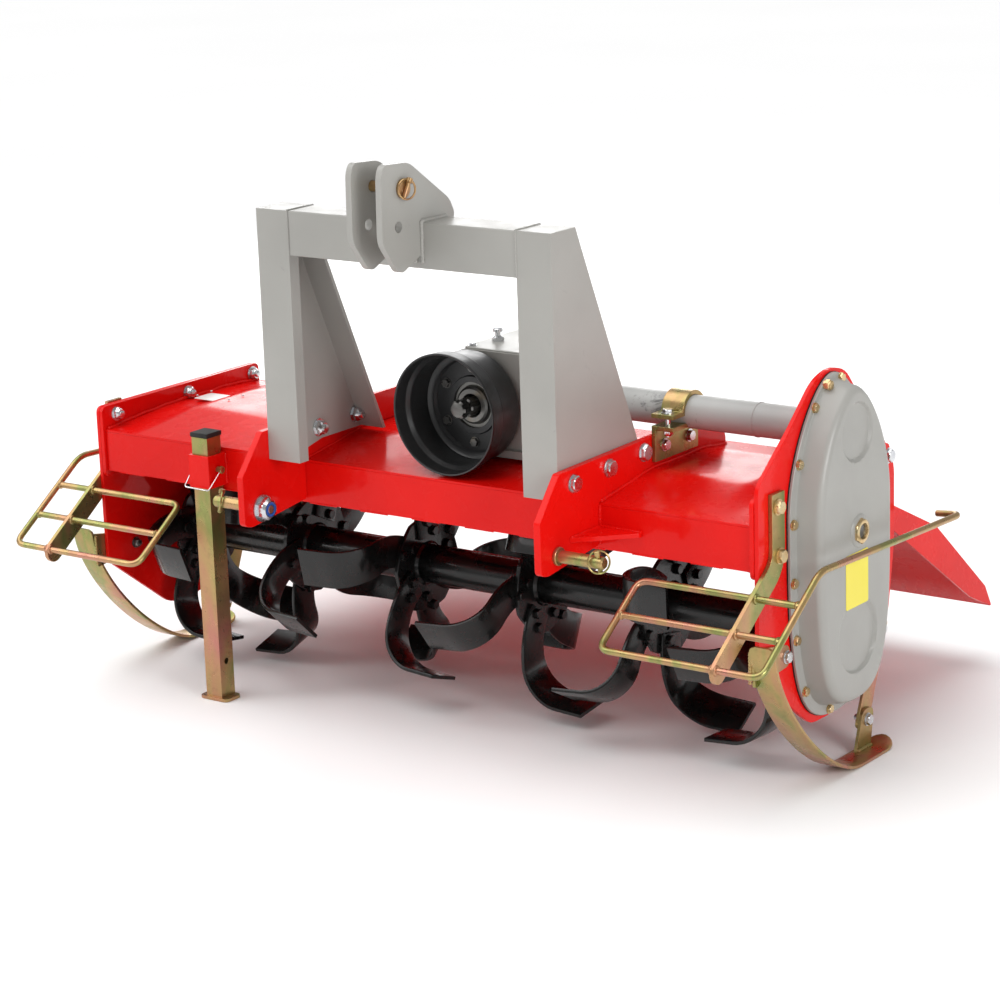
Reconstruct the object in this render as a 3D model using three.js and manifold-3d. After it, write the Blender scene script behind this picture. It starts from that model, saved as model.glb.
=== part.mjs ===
// Rotary tiller for a Category I three-point hitch, in millimetres.
// +X is the drive-case side, -Y faces the tractor, +Z is up, and the ground is z = 0.
// While the pieces are made, x = 0 is the middle of the hitch and y = 0 is the front of the mast legs.
import * as THREE from 'three';
import { mergeVertices } from 'three/addons/utils/BufferGeometryUtils.js';
import Module from 'manifold-3d';

const wasm = await Module();
wasm.setup();

// Clearances
const seatGap = 0.3; // between pieces that rest on or are bolted to each other
const slideGap = 0.4; // all round between the stand leg and its socket
const runningGap = 0.4; // all round a turning shaft in its bearing
const knuckleGap = 1.5; // endways between hinge knuckles

// Hood: the deck, its front beam and its two ends
const insideWidth = 1465; // between the inner faces of the side plates
const hitchFromLeft = 824; // from the left side plate's inner face to the middle of the hitch
const sidePlateThickness = 8;
const endPlateThickness = 8;
const deckThickness = 4;
const deckFrontY = 101;
const deckDepth = 451;
const deckFrontZ = 486; // top of the deck at its front edge
const deckCrown = 25; // rise of the flat middle of the deck above its front edge
const deckSlopeDepth = 160; // front slope, from the front edge to the flat
const deckRearSlopeDepth = 116; // rear slope, from the flat to the rear edge
const deckRearDrop = 14; // fall of the rear slope
const beamHeight = 81;
const beamDepth = 46;
const endPlateOverlap = 6; // end plates stand out past the deck at the front and rear
const endPlateTopZ = 531;
const endPlateBottomZ = 392;
const endPlateCorner = 14;

// Rotor and its drive
const axisY = 335; // fore and aft place of the rotor and of the cross shaft
const rotorZ = 244;
const shaftZ = 603; // height of the gearbox shafts
const rotorTubeRadius = 37;
const rotorStubRadius = 25;
const rotorEndClearance = 12;
const tineSetCount = 6;
const tineSetPitch = 273;
const firstTineSetInset = 49; // from the left side plate to the first flange
const flangeRadius = 95;
const flangeThickness = 8;
const tineRootRadius = 52;
const tineTipRadius = 231;
const tineReach = 122; // sideways reach of a blade
const tineSweepRadius = 130; // of the curve along the flange
const tineSweep = 42; // degrees that a blade curves back before it bends sideways
const tineBendRadius = 70;
const tineWidth = 64;
const tineThickness = 7;
const tineBend = 86; // degrees
const tinesPerFlange = 6;
const tineSetTurn = 25; // degrees from one flange to the next
const firstTineSetAngle = 40;

// Drive case outside the right side plate
const caseHalfWidth = 148;
const caseTopHeight = 98; // above the cross shaft
const caseBottomDepth = 143; // below the rotor axis
const caseShoulderZ = 475;
const caseWaistZ = 390;
const gasketThickness = 2;
const caseFlangeThickness = 5;
const coverInset = 19; // from the flange edge to the foot of the cover, at the sides and below
const coverTopInset = 12; // the same at the top
const coverRounding = 14; // rounding of the cover's outer edge
const coverDepth = 50;
const plugRadius = 17;
const plugHeight = 7;

// Mast (the A-frame)
const mastOuterHalfWidth = 317;
const mastTopZ = 965;
const mastBottomZ = 509;
const mastTopDepth = 72.4;
const mastRearY = 266; // rear of the leg webs where they meet the deck
const mastRearZ = 515;
const legFrontWidth = 71.5;
const legPlate = 8;
const legLip = 25;
const legRearFlange = 60;
const crossbarHeight = 80;

// Top link clevis
const clevisOffset = 12; // the clevis stands a little towards the drive case
const earHalfGap = 26;
const earThickness = 12;
const topPinRadius = 9.5;
const topPinY = -48;
const topPinRise = 65; // above the top of the mast
const topPinZ = mastTopZ + topPinRise;
const topPinHead = 6;

// Hitch plates and lower pins
const hitchPlateThickness = 14;
const hitchPlateFrontY = -75;
const hitchPlateRearY = 510;
const hitchPlateTopZ = 567;
const hitchPlateBottomZ = 400;
const lowerPinRadius = 11;
const lowerPinLength = 96; // outside the hitch plate
const lowerPinY = -27;
const lowerPinZ = 424;
const collarRadius = 16;
const collarWidth = 6;
const nutRadius = 18;
const nutWidth = 20;
const gussetReach = 86;
const gussetThickness = 8;

// Gearbox, input shaft, shield and cross tube
const gearboxLeft = -90;
const gearboxRight = 120;
const gearboxShoulder = 58; // width of the sloping left shoulder
const gearboxShoulderDrop = 34;
const gearboxFrontY = 210;
const gearboxRearY = 400;
const gearboxTopZ = 700;
const gearboxFootHeight = 14;
const gearboxFootOverhang = 24;
const neckRadius = 78;
const neckFrontY = 200;
const inputShaftRadius = 17.5;
const inputShaftFrontY = 146;
const shieldRimY = 104;
const shieldRimRadius = 109;
const shieldWall = 3;
const shieldStep = 8; // the front part is this much wider than the rear part
const shieldStepY = 134;
const shieldBore = 42;
const crossTubeRadius = 30;
const crossTubeFlangeRadius = 66;
const crossTubeFlange = 12;

// Clamp that holds the cross tube on the right hitch plate
const clampWidth = 45;
const clampStrap = 8;
const clampHalfLength = 69;
const clampPlate = 8;
const clampBottomZ = 522;
const clampShelfZ = 587;
const clampSplit = 14; // open height between the shelf and the cap's ears

// Skids
const skidWidth = 50;
const skidThickness = 6;
const skidFrontY = 61;
const skidTopZ = 292;
const skidFlatY = 355;
const skidTailY = 475;
const skidTailRise = 14;
const skidRoundness = 0.37;
const skidEar = 6;
const skidEarRearY = 184;
const strapWidth = 40;
const strapThickness = 6;
const strapFootY = 437;
const strapFootZ = 56;
const strapTopY = 499;
const strapTopZ = 206;

// Guards
const guardRodRadius = 6;
const guardBendRadius = 22;
const guardInnerReach = 214; // inwards from the side plate
const guardOuterReach = 93; // outwards from the side plate
const guardBottomY = -52;
const guardBottomZ = 282;
const guardTopY = 75;
const guardTopZ = 370;
const guardKinkY = 137;
const guardRearY = 630;
const guardRearZ = 395;
const guardHook = 52;
const armWidth = 40;
const armThickness = 8;
const armY = 149;
const armTopZ = 534;
const armBendZ = 410;

// Parking stand
const standX = -535.5;
const standTube = 38;
const standWall = 3;
const socketWall = 5.5;
const socketHeight = 62;
const socketTopZ = 478;
const standTopZ = 511;
const footWidth = 68;
const footDepth = 46;
const footCorner = 12;
const footRearOverhang = 3; // past the leg, towards the rotor
const footThickness = 6;
const pinHoleRadius = 6;
const lowPinHoleZ = 75;
const capThickness = 9;
const capOverhang = 2;

// Tailgate
const gateSideClearance = 26;
const gateThickness = 4;
const hingeRearOfDeck = 15;
const hingeZ = 420;
const hingeRodRadius = 6;
const knuckleRadius = 11;
const knuckleLength = 60;
const knuckleInset = 125;
const gateStart = 15; // from the hinge axis to the sheet
const gateKinkY = 778;
const gateKinkZ = 320;
const gateLipY = 975;
const gateLipZ = 155;
const gateEndY = 1000;
const gateEndZ = 112;
const cheekDrop = 38;

// Places worked out from the sizes above
const leftInner = -hitchFromLeft;
const rightInner = insideWidth - hitchFromLeft;
const leftOuter = leftInner - sidePlateThickness;
const rightOuter = rightInner + sidePlateThickness;
const deckLeft = leftInner + seatGap + endPlateThickness + seatGap;
const deckRight = rightInner - seatGap - endPlateThickness - seatGap;
const deckRearY = deckFrontY + deckDepth;
const deckFlatZ = deckFrontZ + deckCrown;
const hingeY = deckRearY + hingeRearOfDeck;
const hitchOuter = mastOuterHalfWidth + seatGap + hitchPlateThickness;
const endPlateFrontY = deckFrontY - endPlateOverlap;
const endPlateRearY = deckRearY + endPlateOverlap;
const crossbarBottomZ = mastTopZ - crossbarHeight;
const crossbarHalfLength = mastOuterHalfWidth - legFrontWidth - seatGap;
const standY = deckFrontY - seatGap - socketWall - slideGap - standTube / 2;

// Basic shapes
const toYZ = new THREE.Matrix4().makeBasis(
  new THREE.Vector3(0, 1, 0), new THREE.Vector3(0, 0, 1), new THREE.Vector3(1, 0, 0));
const toXZ = new THREE.Matrix4().makeBasis(
  new THREE.Vector3(1, 0, 0), new THREE.Vector3(0, 0, 1), new THREE.Vector3(0, -1, 0));

// An outline with every corner rounded to the radius; a point may carry its own radius.
function outline(points, radius = 0) {
  const shape = new THREE.Shape();
  const count = points.length;
  points.forEach(([a, b, own], index) => {
    const corner = new THREE.Vector2(a, b);
    const before = new THREE.Vector2(...points[(index + count - 1) % count].slice(0, 2));
    const after = new THREE.Vector2(...points[(index + 1) % count].slice(0, 2));
    const wanted = own === undefined ? radius : own;
    const room = Math.min(corner.distanceTo(before), corner.distanceTo(after)) * 0.45;
    const cut = Math.min(wanted, room);
    const start = corner.clone().add(before.sub(corner).setLength(cut));
    const end = corner.clone().add(after.sub(corner).setLength(cut));
    const move = index === 0 ? 'moveTo' : 'lineTo';
    if (cut < 0.01) {
      shape[move](a, b);
    } else {
      shape[move](start.x, start.y);
      shape.quadraticCurveTo(a, b, end.x, end.y);
    }
  });
  return shape;
}

function slab(shape, depth, curveSegments = 4) {
  return new THREE.ExtrudeGeometry(shape, { depth, bevelEnabled: false, curveSegments });
}

// A plate in the YZ plane whose faces are at x0 and x1.
function plateYZ(shape, x0, x1, curveSegments) {
  return slab(shape, x1 - x0, curveSegments).applyMatrix4(toYZ).translate(x0, 0, 0);
}

// A plate in the XZ plane whose faces are at y0 and y1.
function plateXZ(shape, y0, y1, curveSegments) {
  return slab(shape, y1 - y0, curveSegments).applyMatrix4(toXZ).translate(0, y1, 0);
}

// A plate in the XY plane whose faces are at z0 and z1.
function plateXY(shape, z0, z1, curveSegments) {
  return slab(shape, z1 - z0, curveSegments).translate(0, 0, z0);
}

function block(x0, x1, y0, y1, z0, z1) {
  const box = new THREE.BoxGeometry(x1 - x0, y1 - y0, z1 - z0);
  return box.translate((x0 + x1) / 2, (y0 + y1) / 2, (z0 + z1) / 2);
}

function cylinderX(radius, x0, x1, y, z, sides = 32) {
  const shape = new THREE.CylinderGeometry(radius, radius, x1 - x0, sides);
  return shape.rotateZ(-Math.PI / 2).translate((x0 + x1) / 2, y, z);
}

function cylinderY(radius, y0, y1, x, z, sides = 32) {
  const shape = new THREE.CylinderGeometry(radius, radius, y1 - y0, sides);
  return shape.translate(x, (y0 + y1) / 2, z);
}

// Joining and cutting
function toManifold(geometry) {
  const bare = geometry.clone();
  bare.deleteAttribute('normal');
  bare.deleteAttribute('uv');
  const merged = mergeVertices(bare, 1e-4);
  return new wasm.Manifold(new wasm.Mesh({
    numProp: 3,
    vertProperties: new Float32Array(merged.attributes.position.array),
    triVerts: new Uint32Array(merged.index.array),
  }));
}

function toGeometry(manifold) {
  const mesh = manifold.getMesh();
  const geometry = new THREE.BufferGeometry();
  geometry.setAttribute('position', new THREE.BufferAttribute(mesh.vertProperties, 3));
  geometry.setIndex(new THREE.BufferAttribute(mesh.triVerts, 1));
  return geometry;
}

function join(...geometries) {
  return toGeometry(geometries.map(toManifold).reduce((sum, next) => sum.add(next)));
}

function cut(geometry, ...tools) {
  return toGeometry(tools.map(toManifold).reduce((rest, tool) => rest.subtract(tool), toManifold(geometry)));
}

// A path through given points. widthDirection is one direction for the whole path, or one for each
// point, or nothing, and then the sections turn as little as they can.
class SweepPath extends THREE.Curve {
  constructor(points, widthDirection) {
    super();
    this.points = points;
    this.widthDirection = widthDirection;
  }

  sideAt(index, frames, tangent) {
    if (Array.isArray(this.widthDirection)) {
      return this.widthDirection[index].clone();
    }
    return (this.widthDirection || frames.binormals[index - 1] || anySide(tangent)).clone();
  }

  getPoint(t) {
    return this.points[Math.round(t * (this.points.length - 1))].clone();
  }

  getSpacedPoints() {
    return this.points;
  }

  computeFrenetFrames() {
    const last = this.points.length - 1;
    const frames = { tangents: [], normals: [], binormals: [] };
    this.points.forEach((point, index) => {
      const ahead = this.points[Math.min(index + 1, last)].clone().sub(point).normalize();
      const behind = point.clone().sub(this.points[Math.max(index - 1, 0)]).normalize();
      const tangent = ahead.add(behind).normalize();
      const side = this.sideAt(index, frames, tangent);
      side.addScaledVector(tangent, -side.dot(tangent)).normalize();
      frames.tangents.push(tangent);
      frames.binormals.push(side);
      frames.normals.push(side.clone().cross(tangent).normalize());
    });
    return frames;
  }
}

function anySide(tangent) {
  const up = new THREE.Vector3(0, 0, 1);
  return Math.abs(tangent.z) < 0.9 ? up : new THREE.Vector3(1, 0, 0);
}

function vectors(points) {
  return points.map(([x, y, z]) => new THREE.Vector3(x, y, z));
}

// Straight lines between the corners, each corner bent to the radius.
function bentLine(corners, radius, steps) {
  const points = [corners[0].clone()];
  for (let index = 1; index < corners.length - 1; index += 1) {
    const corner = corners[index];
    const back = corners[index - 1].clone().sub(corner).normalize();
    const on = corners[index + 1].clone().sub(corner).normalize();
    const reach = radius / Math.tan(back.angleTo(on) / 2);
    const bend = new THREE.QuadraticBezierCurve3(
      corner.clone().addScaledVector(back, reach), corner, corner.clone().addScaledVector(on, reach));
    points.push(...bend.getPoints(steps));
  }
  points.push(corners[corners.length - 1].clone());
  return points;
}

function sweep(shape, points, widthDirection, curveSegments = 3) {
  const extrudePath = new SweepPath(points, widthDirection);
  return new THREE.ExtrudeGeometry(shape, { steps: points.length - 1, extrudePath, curveSegments });
}

function bar(thickness, width) {
  const t = thickness / 2;
  const w = width / 2;
  return outline([[-t, -w], [t, -w], [t, w], [-t, w]]);
}

function rodSection(radius, sides = 10) {
  const corners = [];
  for (let index = 0; index < sides; index += 1) {
    const angle = (2 * Math.PI * index) / sides;
    corners.push([radius * Math.cos(angle), radius * Math.sin(angle)]);
  }
  return outline(corners);
}

// Hood
function deckTop(y) {
  const flatStart = deckFrontY + deckSlopeDepth;
  const flatEnd = deckRearY - deckRearSlopeDepth;
  if (y < flatStart) {
    return deckFlatZ - (deckCrown * (flatStart - y)) / deckSlopeDepth;
  }
  if (y > flatEnd) {
    return deckFlatZ - (deckRearDrop * (y - flatEnd)) / deckRearSlopeDepth;
  }
  return deckFlatZ;
}

const deckBreaks = [deckFrontY + deckSlopeDepth, deckRearY - deckRearSlopeDepth];

// Places of the hinge knuckles along the rear edge, shared by the deck and the tailgate.
function knuckleCentres() {
  const first = deckLeft + knuckleInset;
  const last = deckRight - knuckleInset;
  return [first, (first + last) / 2, last];
}

// A round knuckle with a tab that runs from the hinge axis to the sheet at (y, z).
function knuckle(centreX, y, z) {
  const x0 = centreX - knuckleLength / 2;
  const x1 = centreX + knuckleLength / 2;
  const tab = sweep(bar(gateThickness + 1, knuckleLength),
    vectors([[centreX, hingeY, hingeZ], [centreX, y, z]]), new THREE.Vector3(1, 0, 0));
  const body = join(cylinderX(knuckleRadius, x0, x1, hingeY, hingeZ, 20), tab);
  return cut(body, cylinderX(hingeRodRadius + runningGap, x0 - 1, x1 + 1, hingeY, hingeZ, 20));
}

function deckCover() {
  const inner = deckRearY - deckThickness;
  const flangeFoot = hingeZ - deckThickness;
  const profile = [
    [deckFrontY, deckTop(deckFrontY)],
    ...deckBreaks.map((y) => [y, deckTop(y)]),
    [deckRearY, deckTop(deckRearY), 3],
    [deckRearY, flangeFoot],
    [inner, flangeFoot],
    [inner, deckTop(deckRearY) - deckThickness],
    ...deckBreaks.map((y) => [y, deckTop(y) - deckThickness]).reverse(),
    [deckFrontY, deckTop(deckFrontY) - deckThickness],
  ];
  const sheet = plateYZ(outline(profile), deckLeft, deckRight);
  const knuckles = knuckleCentres().map((x) => knuckle(x, inner + 1, hingeZ));
  return join(sheet, ...knuckles);
}

// A three-sided box section: its face hangs from the deck's front edge, its back slopes up inside.
function frontBeam() {
  const top = deckTop(deckFrontY) - deckThickness - seatGap;
  const bottom = deckFrontZ - beamHeight;
  const rear = deckFrontY + beamDepth;
  const rearTop = deckTop(rear) - deckThickness - seatGap;
  const wall = deckThickness + 1;
  const outer = outline([[deckFrontY, bottom], [deckFrontY + 9, bottom], [rear, rearTop], [deckFrontY, top]]);
  const inner = outline([
    [deckFrontY + wall, bottom + 3 * wall],
    [rear - 2 * wall, rearTop - 1.8 * wall],
    [deckFrontY + wall, top - wall],
  ]);
  outer.holes.push(inner);
  return plateYZ(outer, deckLeft, deckRight);
}

function endPlate(x0) {
  const shape = outline([
    [endPlateFrontY, endPlateBottomZ], [endPlateRearY, endPlateBottomZ],
    [endPlateRearY, endPlateTopZ], [endPlateFrontY, endPlateTopZ],
  ], endPlateCorner);
  return plateYZ(shape, x0, x0 + endPlateThickness);
}

const sideFrontY = endPlateFrontY;
const sideRearY = endPlateRearY;
const sideLowerOutline = [
  [sideRearY, rotorZ + 106, 30], [sideRearY - 24, rotorZ - 29, 24], [axisY + 25, rotorZ - 149, 40],
  [axisY - 73, rotorZ - 148, 20], [sideFrontY + 12, rotorZ - 30, 10],
];

function rotorHole(x0, x1, clearance) {
  return cylinderX(rotorStubRadius + clearance, x0 - 1, x1 + 1, axisY, rotorZ, 32);
}

function leftSidePlate() {
  const shape = outline([
    ...sideLowerOutline, [sideFrontY, rotorZ - 14, 10], [sideFrontY, endPlateTopZ, endPlateCorner],
    [sideRearY, endPlateTopZ, endPlateCorner],
  ]);
  return cut(plateYZ(shape, leftOuter, leftInner), rotorHole(leftOuter, leftInner, 6));
}

// The right side plate also carries the drive case, so it rises to the case's top.
function rightSidePlate() {
  const top = shaftZ + caseTopHeight + 8;
  const shape = outline([
    ...sideLowerOutline, [sideFrontY, rotorZ - 14, 10], [sideFrontY + 3, endPlateTopZ + 20, 14],
    [axisY - 133, top - 80, 20], [axisY - 53, top - 12, 30], [axisY, top, 20], [axisY + 53, top - 12, 30],
    [axisY + 92, top - 60, 30], [sideRearY - 42, shaftZ - 50, 20], [sideRearY, endPlateTopZ - 36, 20],
  ]);
  return cut(plateYZ(shape, rightInner, rightOuter), rotorHole(rightInner, rightOuter, runningGap));
}

// Drive case
// An egg-shaped outline, narrow round the cross shaft and wide round the rotor. A larger fullness
// squares the top.
function caseOutline(inset, topInset, fullness) {
  const half = caseHalfWidth - inset;
  const top = shaftZ + caseTopHeight - topInset;
  const bottom = rotorZ - caseBottomDepth + inset;
  const rise = caseShoulderZ + 0.45 * (top - caseShoulderZ);
  const fall = caseWaistZ - 0.9 * (caseWaistZ - bottom);
  const shape = new THREE.Shape();
  shape.moveTo(axisY + half, caseWaistZ);
  shape.lineTo(axisY + half, caseShoulderZ);
  shape.bezierCurveTo(axisY + half, rise, axisY + fullness * half, top, axisY, top);
  shape.bezierCurveTo(axisY - fullness * half, top, axisY - half, rise, axisY - half, caseShoulderZ);
  shape.lineTo(axisY - half, caseWaistZ);
  shape.bezierCurveTo(axisY - half, fall, axisY - 0.57 * half, bottom, axisY, bottom);
  shape.bezierCurveTo(axisY + 0.57 * half, bottom, axisY + half, fall, axisY + half, caseWaistZ);
  return shape;
}

const flangeFullness = 0.39;
const coverFullness = 0.42;

function driveGasket() {
  const x0 = rightOuter + seatGap;
  return plateYZ(caseOutline(-1, -1, flangeFullness), x0, x0 + gasketThickness, 12);
}

const caseBackX = rightOuter + seatGap + gasketThickness + seatGap;

function driveCover() {
  const flange = plateYZ(caseOutline(0, 0, flangeFullness), caseBackX, caseBackX + caseFlangeThickness, 12);
  const outerX = caseBackX + coverDepth;
  const round = {
    depth: coverDepth,
    bevelThickness: coverRounding,
    bevelSize: coverRounding,
    bevelOffset: -coverRounding,
    bevelSegments: 3,
    curveSegments: 12,
  };
  const dome = new THREE.ExtrudeGeometry(caseOutline(coverInset, coverTopInset, coverFullness), round);
  dome.applyMatrix4(toYZ).translate(outerX - coverDepth - coverRounding, 0, 0);
  const behind = block(caseBackX - 2 * coverRounding, caseBackX, 0, 2 * axisY, 0, 2 * shaftZ);
  const plugZ = (shaftZ + rotorZ) / 2 + 6;
  const plug = cylinderX(plugRadius, outerX - 5, outerX + plugHeight, axisY + 5, plugZ, 20);
  return join(flange, cut(dome, behind), plug);
}

// Mast
function rearEdgeY(z) {
  return mastTopDepth + ((mastTopZ - z) * (mastRearY - mastTopDepth)) / (mastTopZ - mastRearZ);
}

// A leg is bent from plate: a front face with a lip, an outer web and a flange along the sloping rear edge.
function mastLeg(side) {
  const outer = mastOuterHalfWidth;
  const inner = outer - legFrontWidth;
  const webBottom = deckTop(mastRearY) + seatGap + 8;
  const front = block(inner, outer, 0, legPlate, mastBottomZ, mastTopZ);
  const lip = block(inner, inner + legPlate, 0, legLip, mastBottomZ, crossbarBottomZ - seatGap);
  const web = plateYZ(outline([
    [0, mastBottomZ], [deckFrontY - 6, mastBottomZ], [deckFrontY + 40, webBottom],
    [rearEdgeY(webBottom), webBottom], [mastTopDepth, mastTopZ], [0, mastTopZ],
  ]), outer - legPlate, outer);
  const rear = plateYZ(outline([
    [rearEdgeY(webBottom) - legPlate, webBottom], [rearEdgeY(webBottom), webBottom],
    [mastTopDepth, mastTopZ], [mastTopDepth - legPlate, mastTopZ],
  ]), outer - legRearFlange, outer);
  const lid = block(inner, outer, 0, mastTopDepth - 1, mastTopZ - legPlate, mastTopZ);
  return mirrored(join(front, lip, web, rear, lid), side);
}

// The left copy of a piece made for the right side.
function mirrored(geometry, side) {
  if (side > 0) {
    return geometry;
  }
  return toGeometry(toManifold(geometry).mirror([1, 0, 0]));
}

function mastCrossbar() {
  return block(-crossbarHalfLength, crossbarHalfLength, 0, mastTopDepth, crossbarBottomZ, mastTopZ);
}

function topLinkEar(side) {
  const shape = outline([
    [-104, topPinZ + 27, 10], [-95, topPinZ + 45, 10], [-28, topPinZ + 41, 14],
    [82, topPinZ - 36, 12], [95, topPinZ - 62, 10], [88, topPinZ - 78, 6],
    [-54, topPinZ - 143, 12], [-68, topPinZ - 139, 6], [-107, topPinZ - 86, 14],
  ]);
  const ear = plateYZ(shape, earHalfGap, earHalfGap + earThickness);
  const x0 = earHalfGap - 1;
  const x1 = earHalfGap + earThickness + 1;
  const seat = block(x0, x1, -seatGap, mastTopDepth + seatGap, crossbarBottomZ - 20, mastTopZ + seatGap);
  const pinHole = cylinderX(topPinRadius + seatGap, x0, x1, topPinY, topPinZ, 24);
  const slot = cylinderX(topPinRadius + seatGap, x0, x1, topPinY - 14, topPinZ - 64, 24);
  return mirrored(cut(ear, seat, pinHole, slot), side).translate(clevisOffset, 0, 0);
}

function topLinkPin() {
  const end = earHalfGap + earThickness;
  return join(
    cylinderX(topPinRadius, -end - 18, end + seatGap, topPinY, topPinZ, 24),
    cylinderX(topPinRadius + 7, end + seatGap, end + seatGap + topPinHead, topPinY, topPinZ, 24),
  ).translate(clevisOffset, 0, 0);
}

// Hitch
function hitchPlate(side) {
  const beamBottom = deckFrontZ - beamHeight;
  const under = deckFrontY - seatGap;
  const shape = outline([
    [hitchPlateFrontY, hitchPlateBottomZ, 8], [hitchPlateFrontY, hitchPlateBottomZ + 90, 3],
    [-15, hitchPlateTopZ - 5, 4], [263, hitchPlateTopZ, 4], [hitchPlateRearY - 20, hitchPlateTopZ, 12],
    [hitchPlateRearY, deckTop(hitchPlateRearY) + seatGap + 14, 4],
    [hitchPlateRearY, deckTop(hitchPlateRearY) + seatGap],
    ...deckBreaks.filter((y) => y < hitchPlateRearY).map((y) => [y, deckTop(y) + seatGap]).reverse(),
    [under, deckTop(deckFrontY) + seatGap], [under, beamBottom + 8, 6],
    [hitchPlateFrontY + 20, hitchPlateBottomZ - 6, 8],
  ]);
  const plate = plateYZ(shape, mastOuterHalfWidth + seatGap, hitchOuter);
  const hole = cylinderX(
    lowerPinRadius + seatGap, mastOuterHalfWidth - 1, hitchOuter + 1, lowerPinY, lowerPinZ, 24);
  return mirrored(cut(plate, hole), side);
}

function hitchGusset(side) {
  const x0 = hitchOuter + seatGap;
  const y1 = deckFrontY - seatGap;
  const z = deckFrontZ - beamHeight + 33;
  const shape = outline([[x0, y1 - 92], [x0 + gussetReach, y1 - 8], [x0 + gussetReach, y1], [x0, y1]], 2);
  return mirrored(plateXY(shape, z, z + gussetThickness), side);
}

function lowerPin(side) {
  const inner = mastOuterHalfWidth;
  const x0 = hitchOuter + seatGap;
  const parts = join(
    cylinderX(lowerPinRadius, inner - nutWidth, hitchOuter + lowerPinLength, lowerPinY, lowerPinZ, 24),
    cylinderX(collarRadius, x0, x0 + collarWidth, lowerPinY, lowerPinZ, 24),
    cylinderX(nutRadius, inner - nutWidth, inner, lowerPinY, lowerPinZ, 6));
  return mirrored(parts, side);
}

// Gearbox and input
function gearbox() {
  const floor = deckFlatZ + seatGap;
  const body = plateXZ(outline([
    [gearboxLeft, floor], [gearboxRight, floor], [gearboxRight, gearboxTopZ, 14],
    [gearboxLeft + gearboxShoulder, gearboxTopZ, 10], [gearboxLeft, gearboxTopZ - gearboxShoulderDrop, 10],
  ]), gearboxFrontY, gearboxRearY);
  const foot = block(gearboxLeft - gearboxFootOverhang, gearboxRight + gearboxFootOverhang,
    gearboxFrontY - 8, gearboxRearY + 8, floor, floor + gearboxFootHeight);
  const neck = cylinderY(neckRadius, neckFrontY, gearboxFrontY + 5, 0, shaftZ);
  const sideFlange = cylinderX(
    crossTubeFlangeRadius, gearboxLeft - crossTubeFlange, gearboxRight + crossTubeFlange, axisY, shaftZ);
  const bore = cylinderY(inputShaftRadius + runningGap, neckFrontY - 1, gearboxFrontY + 40, 0, shaftZ, 24);
  return cut(join(body, foot, neck, sideFlange), bore);
}

function ptoShaft() {
  return cylinderY(inputShaftRadius, inputShaftFrontY, gearboxFrontY + 36, 0, shaftZ, 24);
}

// A deep cup, open at the front, with a rolled rim and a bored back.
function ptoShield() {
  const back = neckFrontY - seatGap;
  const rim = shieldRimRadius;
  const narrow = rim - shieldStep;
  const profile = [
    [shieldBore, back - shieldWall], [narrow - shieldWall - 3, back - shieldWall],
    [narrow - shieldWall, shieldStepY + 3], [rim - shieldWall, shieldStepY], [rim - shieldWall, shieldRimY],
    [rim + 1, shieldRimY], [rim + 1, shieldRimY + 4], [rim, shieldRimY + 6], [rim, shieldStepY + 3],
    [narrow, shieldStepY + 6], [narrow - 3, back], [shieldBore, back], [shieldBore, back - shieldWall],
  ];
  const points = profile.map(([radius, y]) => new THREE.Vector2(radius, y));
  return new THREE.LatheGeometry(points, 48).translate(0, 0, shaftZ);
}

function crossTube() {
  const x0 = gearboxRight + crossTubeFlange + seatGap;
  return cylinderX(crossTubeRadius, x0, rightInner - seatGap, axisY, shaftZ, 32);
}

// Tube clamp
const clampX = hitchOuter + seatGap;

function clampBracket() {
  const y0 = axisY - clampHalfLength;
  const y1 = axisY + clampHalfLength;
  const upright = block(clampX, clampX + clampPlate, y0, y1, clampBottomZ, clampShelfZ);
  const shelf = block(clampX, clampX + clampWidth, y0, y1, clampShelfZ - clampPlate, clampShelfZ);
  const saddle = cylinderX(crossTubeRadius + seatGap, clampX - 1, clampX + clampWidth + 1, axisY, shaftZ, 32);
  return cut(join(upright, shelf), saddle);
}

function clampCap() {
  const inside = crossTubeRadius + seatGap;
  const outside = inside + clampStrap;
  const ear = clampShelfZ + clampSplit;
  const shape = outline([
    [axisY - clampHalfLength, ear], [axisY + clampHalfLength, ear], [axisY + clampHalfLength, ear + clampStrap],
    [axisY - clampHalfLength, ear + clampStrap],
  ]);
  const ears = plateYZ(shape, clampX, clampX + clampWidth);
  const hoop = cylinderX(outside, clampX, clampX + clampWidth, axisY, shaftZ, 32);
  const bore = cylinderX(inside, clampX - 1, clampX + clampWidth + 1, axisY, shaftZ, 32);
  const below = block(clampX - 1, clampX + clampWidth + 1, axisY - 200, axisY + 200, shaftZ - 100, ear);
  return cut(join(ears, hoop), bore, below);
}

// Rotor
function rotorTube() {
  const x0 = leftInner + rotorEndClearance;
  const x1 = rightInner - rotorEndClearance;
  return join(
    cylinderX(rotorTubeRadius, x0, x1, axisY, rotorZ, 32),
    cylinderX(rotorStubRadius, leftOuter - 24, rightOuter - 1, axisY, rotorZ, 32));
}

// Where a blade's curve starts, so that the outer corner of its tip turns on tineTipRadius.
function tineRoot() {
  const sweepAngle = THREE.MathUtils.degToRad(tineSweep);
  const bendAngle = THREE.MathUtils.degToRad(tineBend);
  const straight = tineReach - tineBendRadius * (1 - Math.cos(bendAngle));
  const ahead = tineBendRadius * Math.sin(bendAngle) + straight / Math.tan(bendAngle);
  const half = tineWidth / 2;
  const out = tineSweepRadius * Math.sin(sweepAngle) + ahead * Math.cos(sweepAngle)
    + half * Math.sin(sweepAngle);
  const back = tineSweepRadius * (1 - Math.cos(sweepAngle)) + ahead * Math.sin(sweepAngle)
    - half * Math.cos(sweepAngle);
  return Math.sqrt((tineTipRadius - tineThickness / 2) ** 2 - back ** 2) - out;
}

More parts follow.
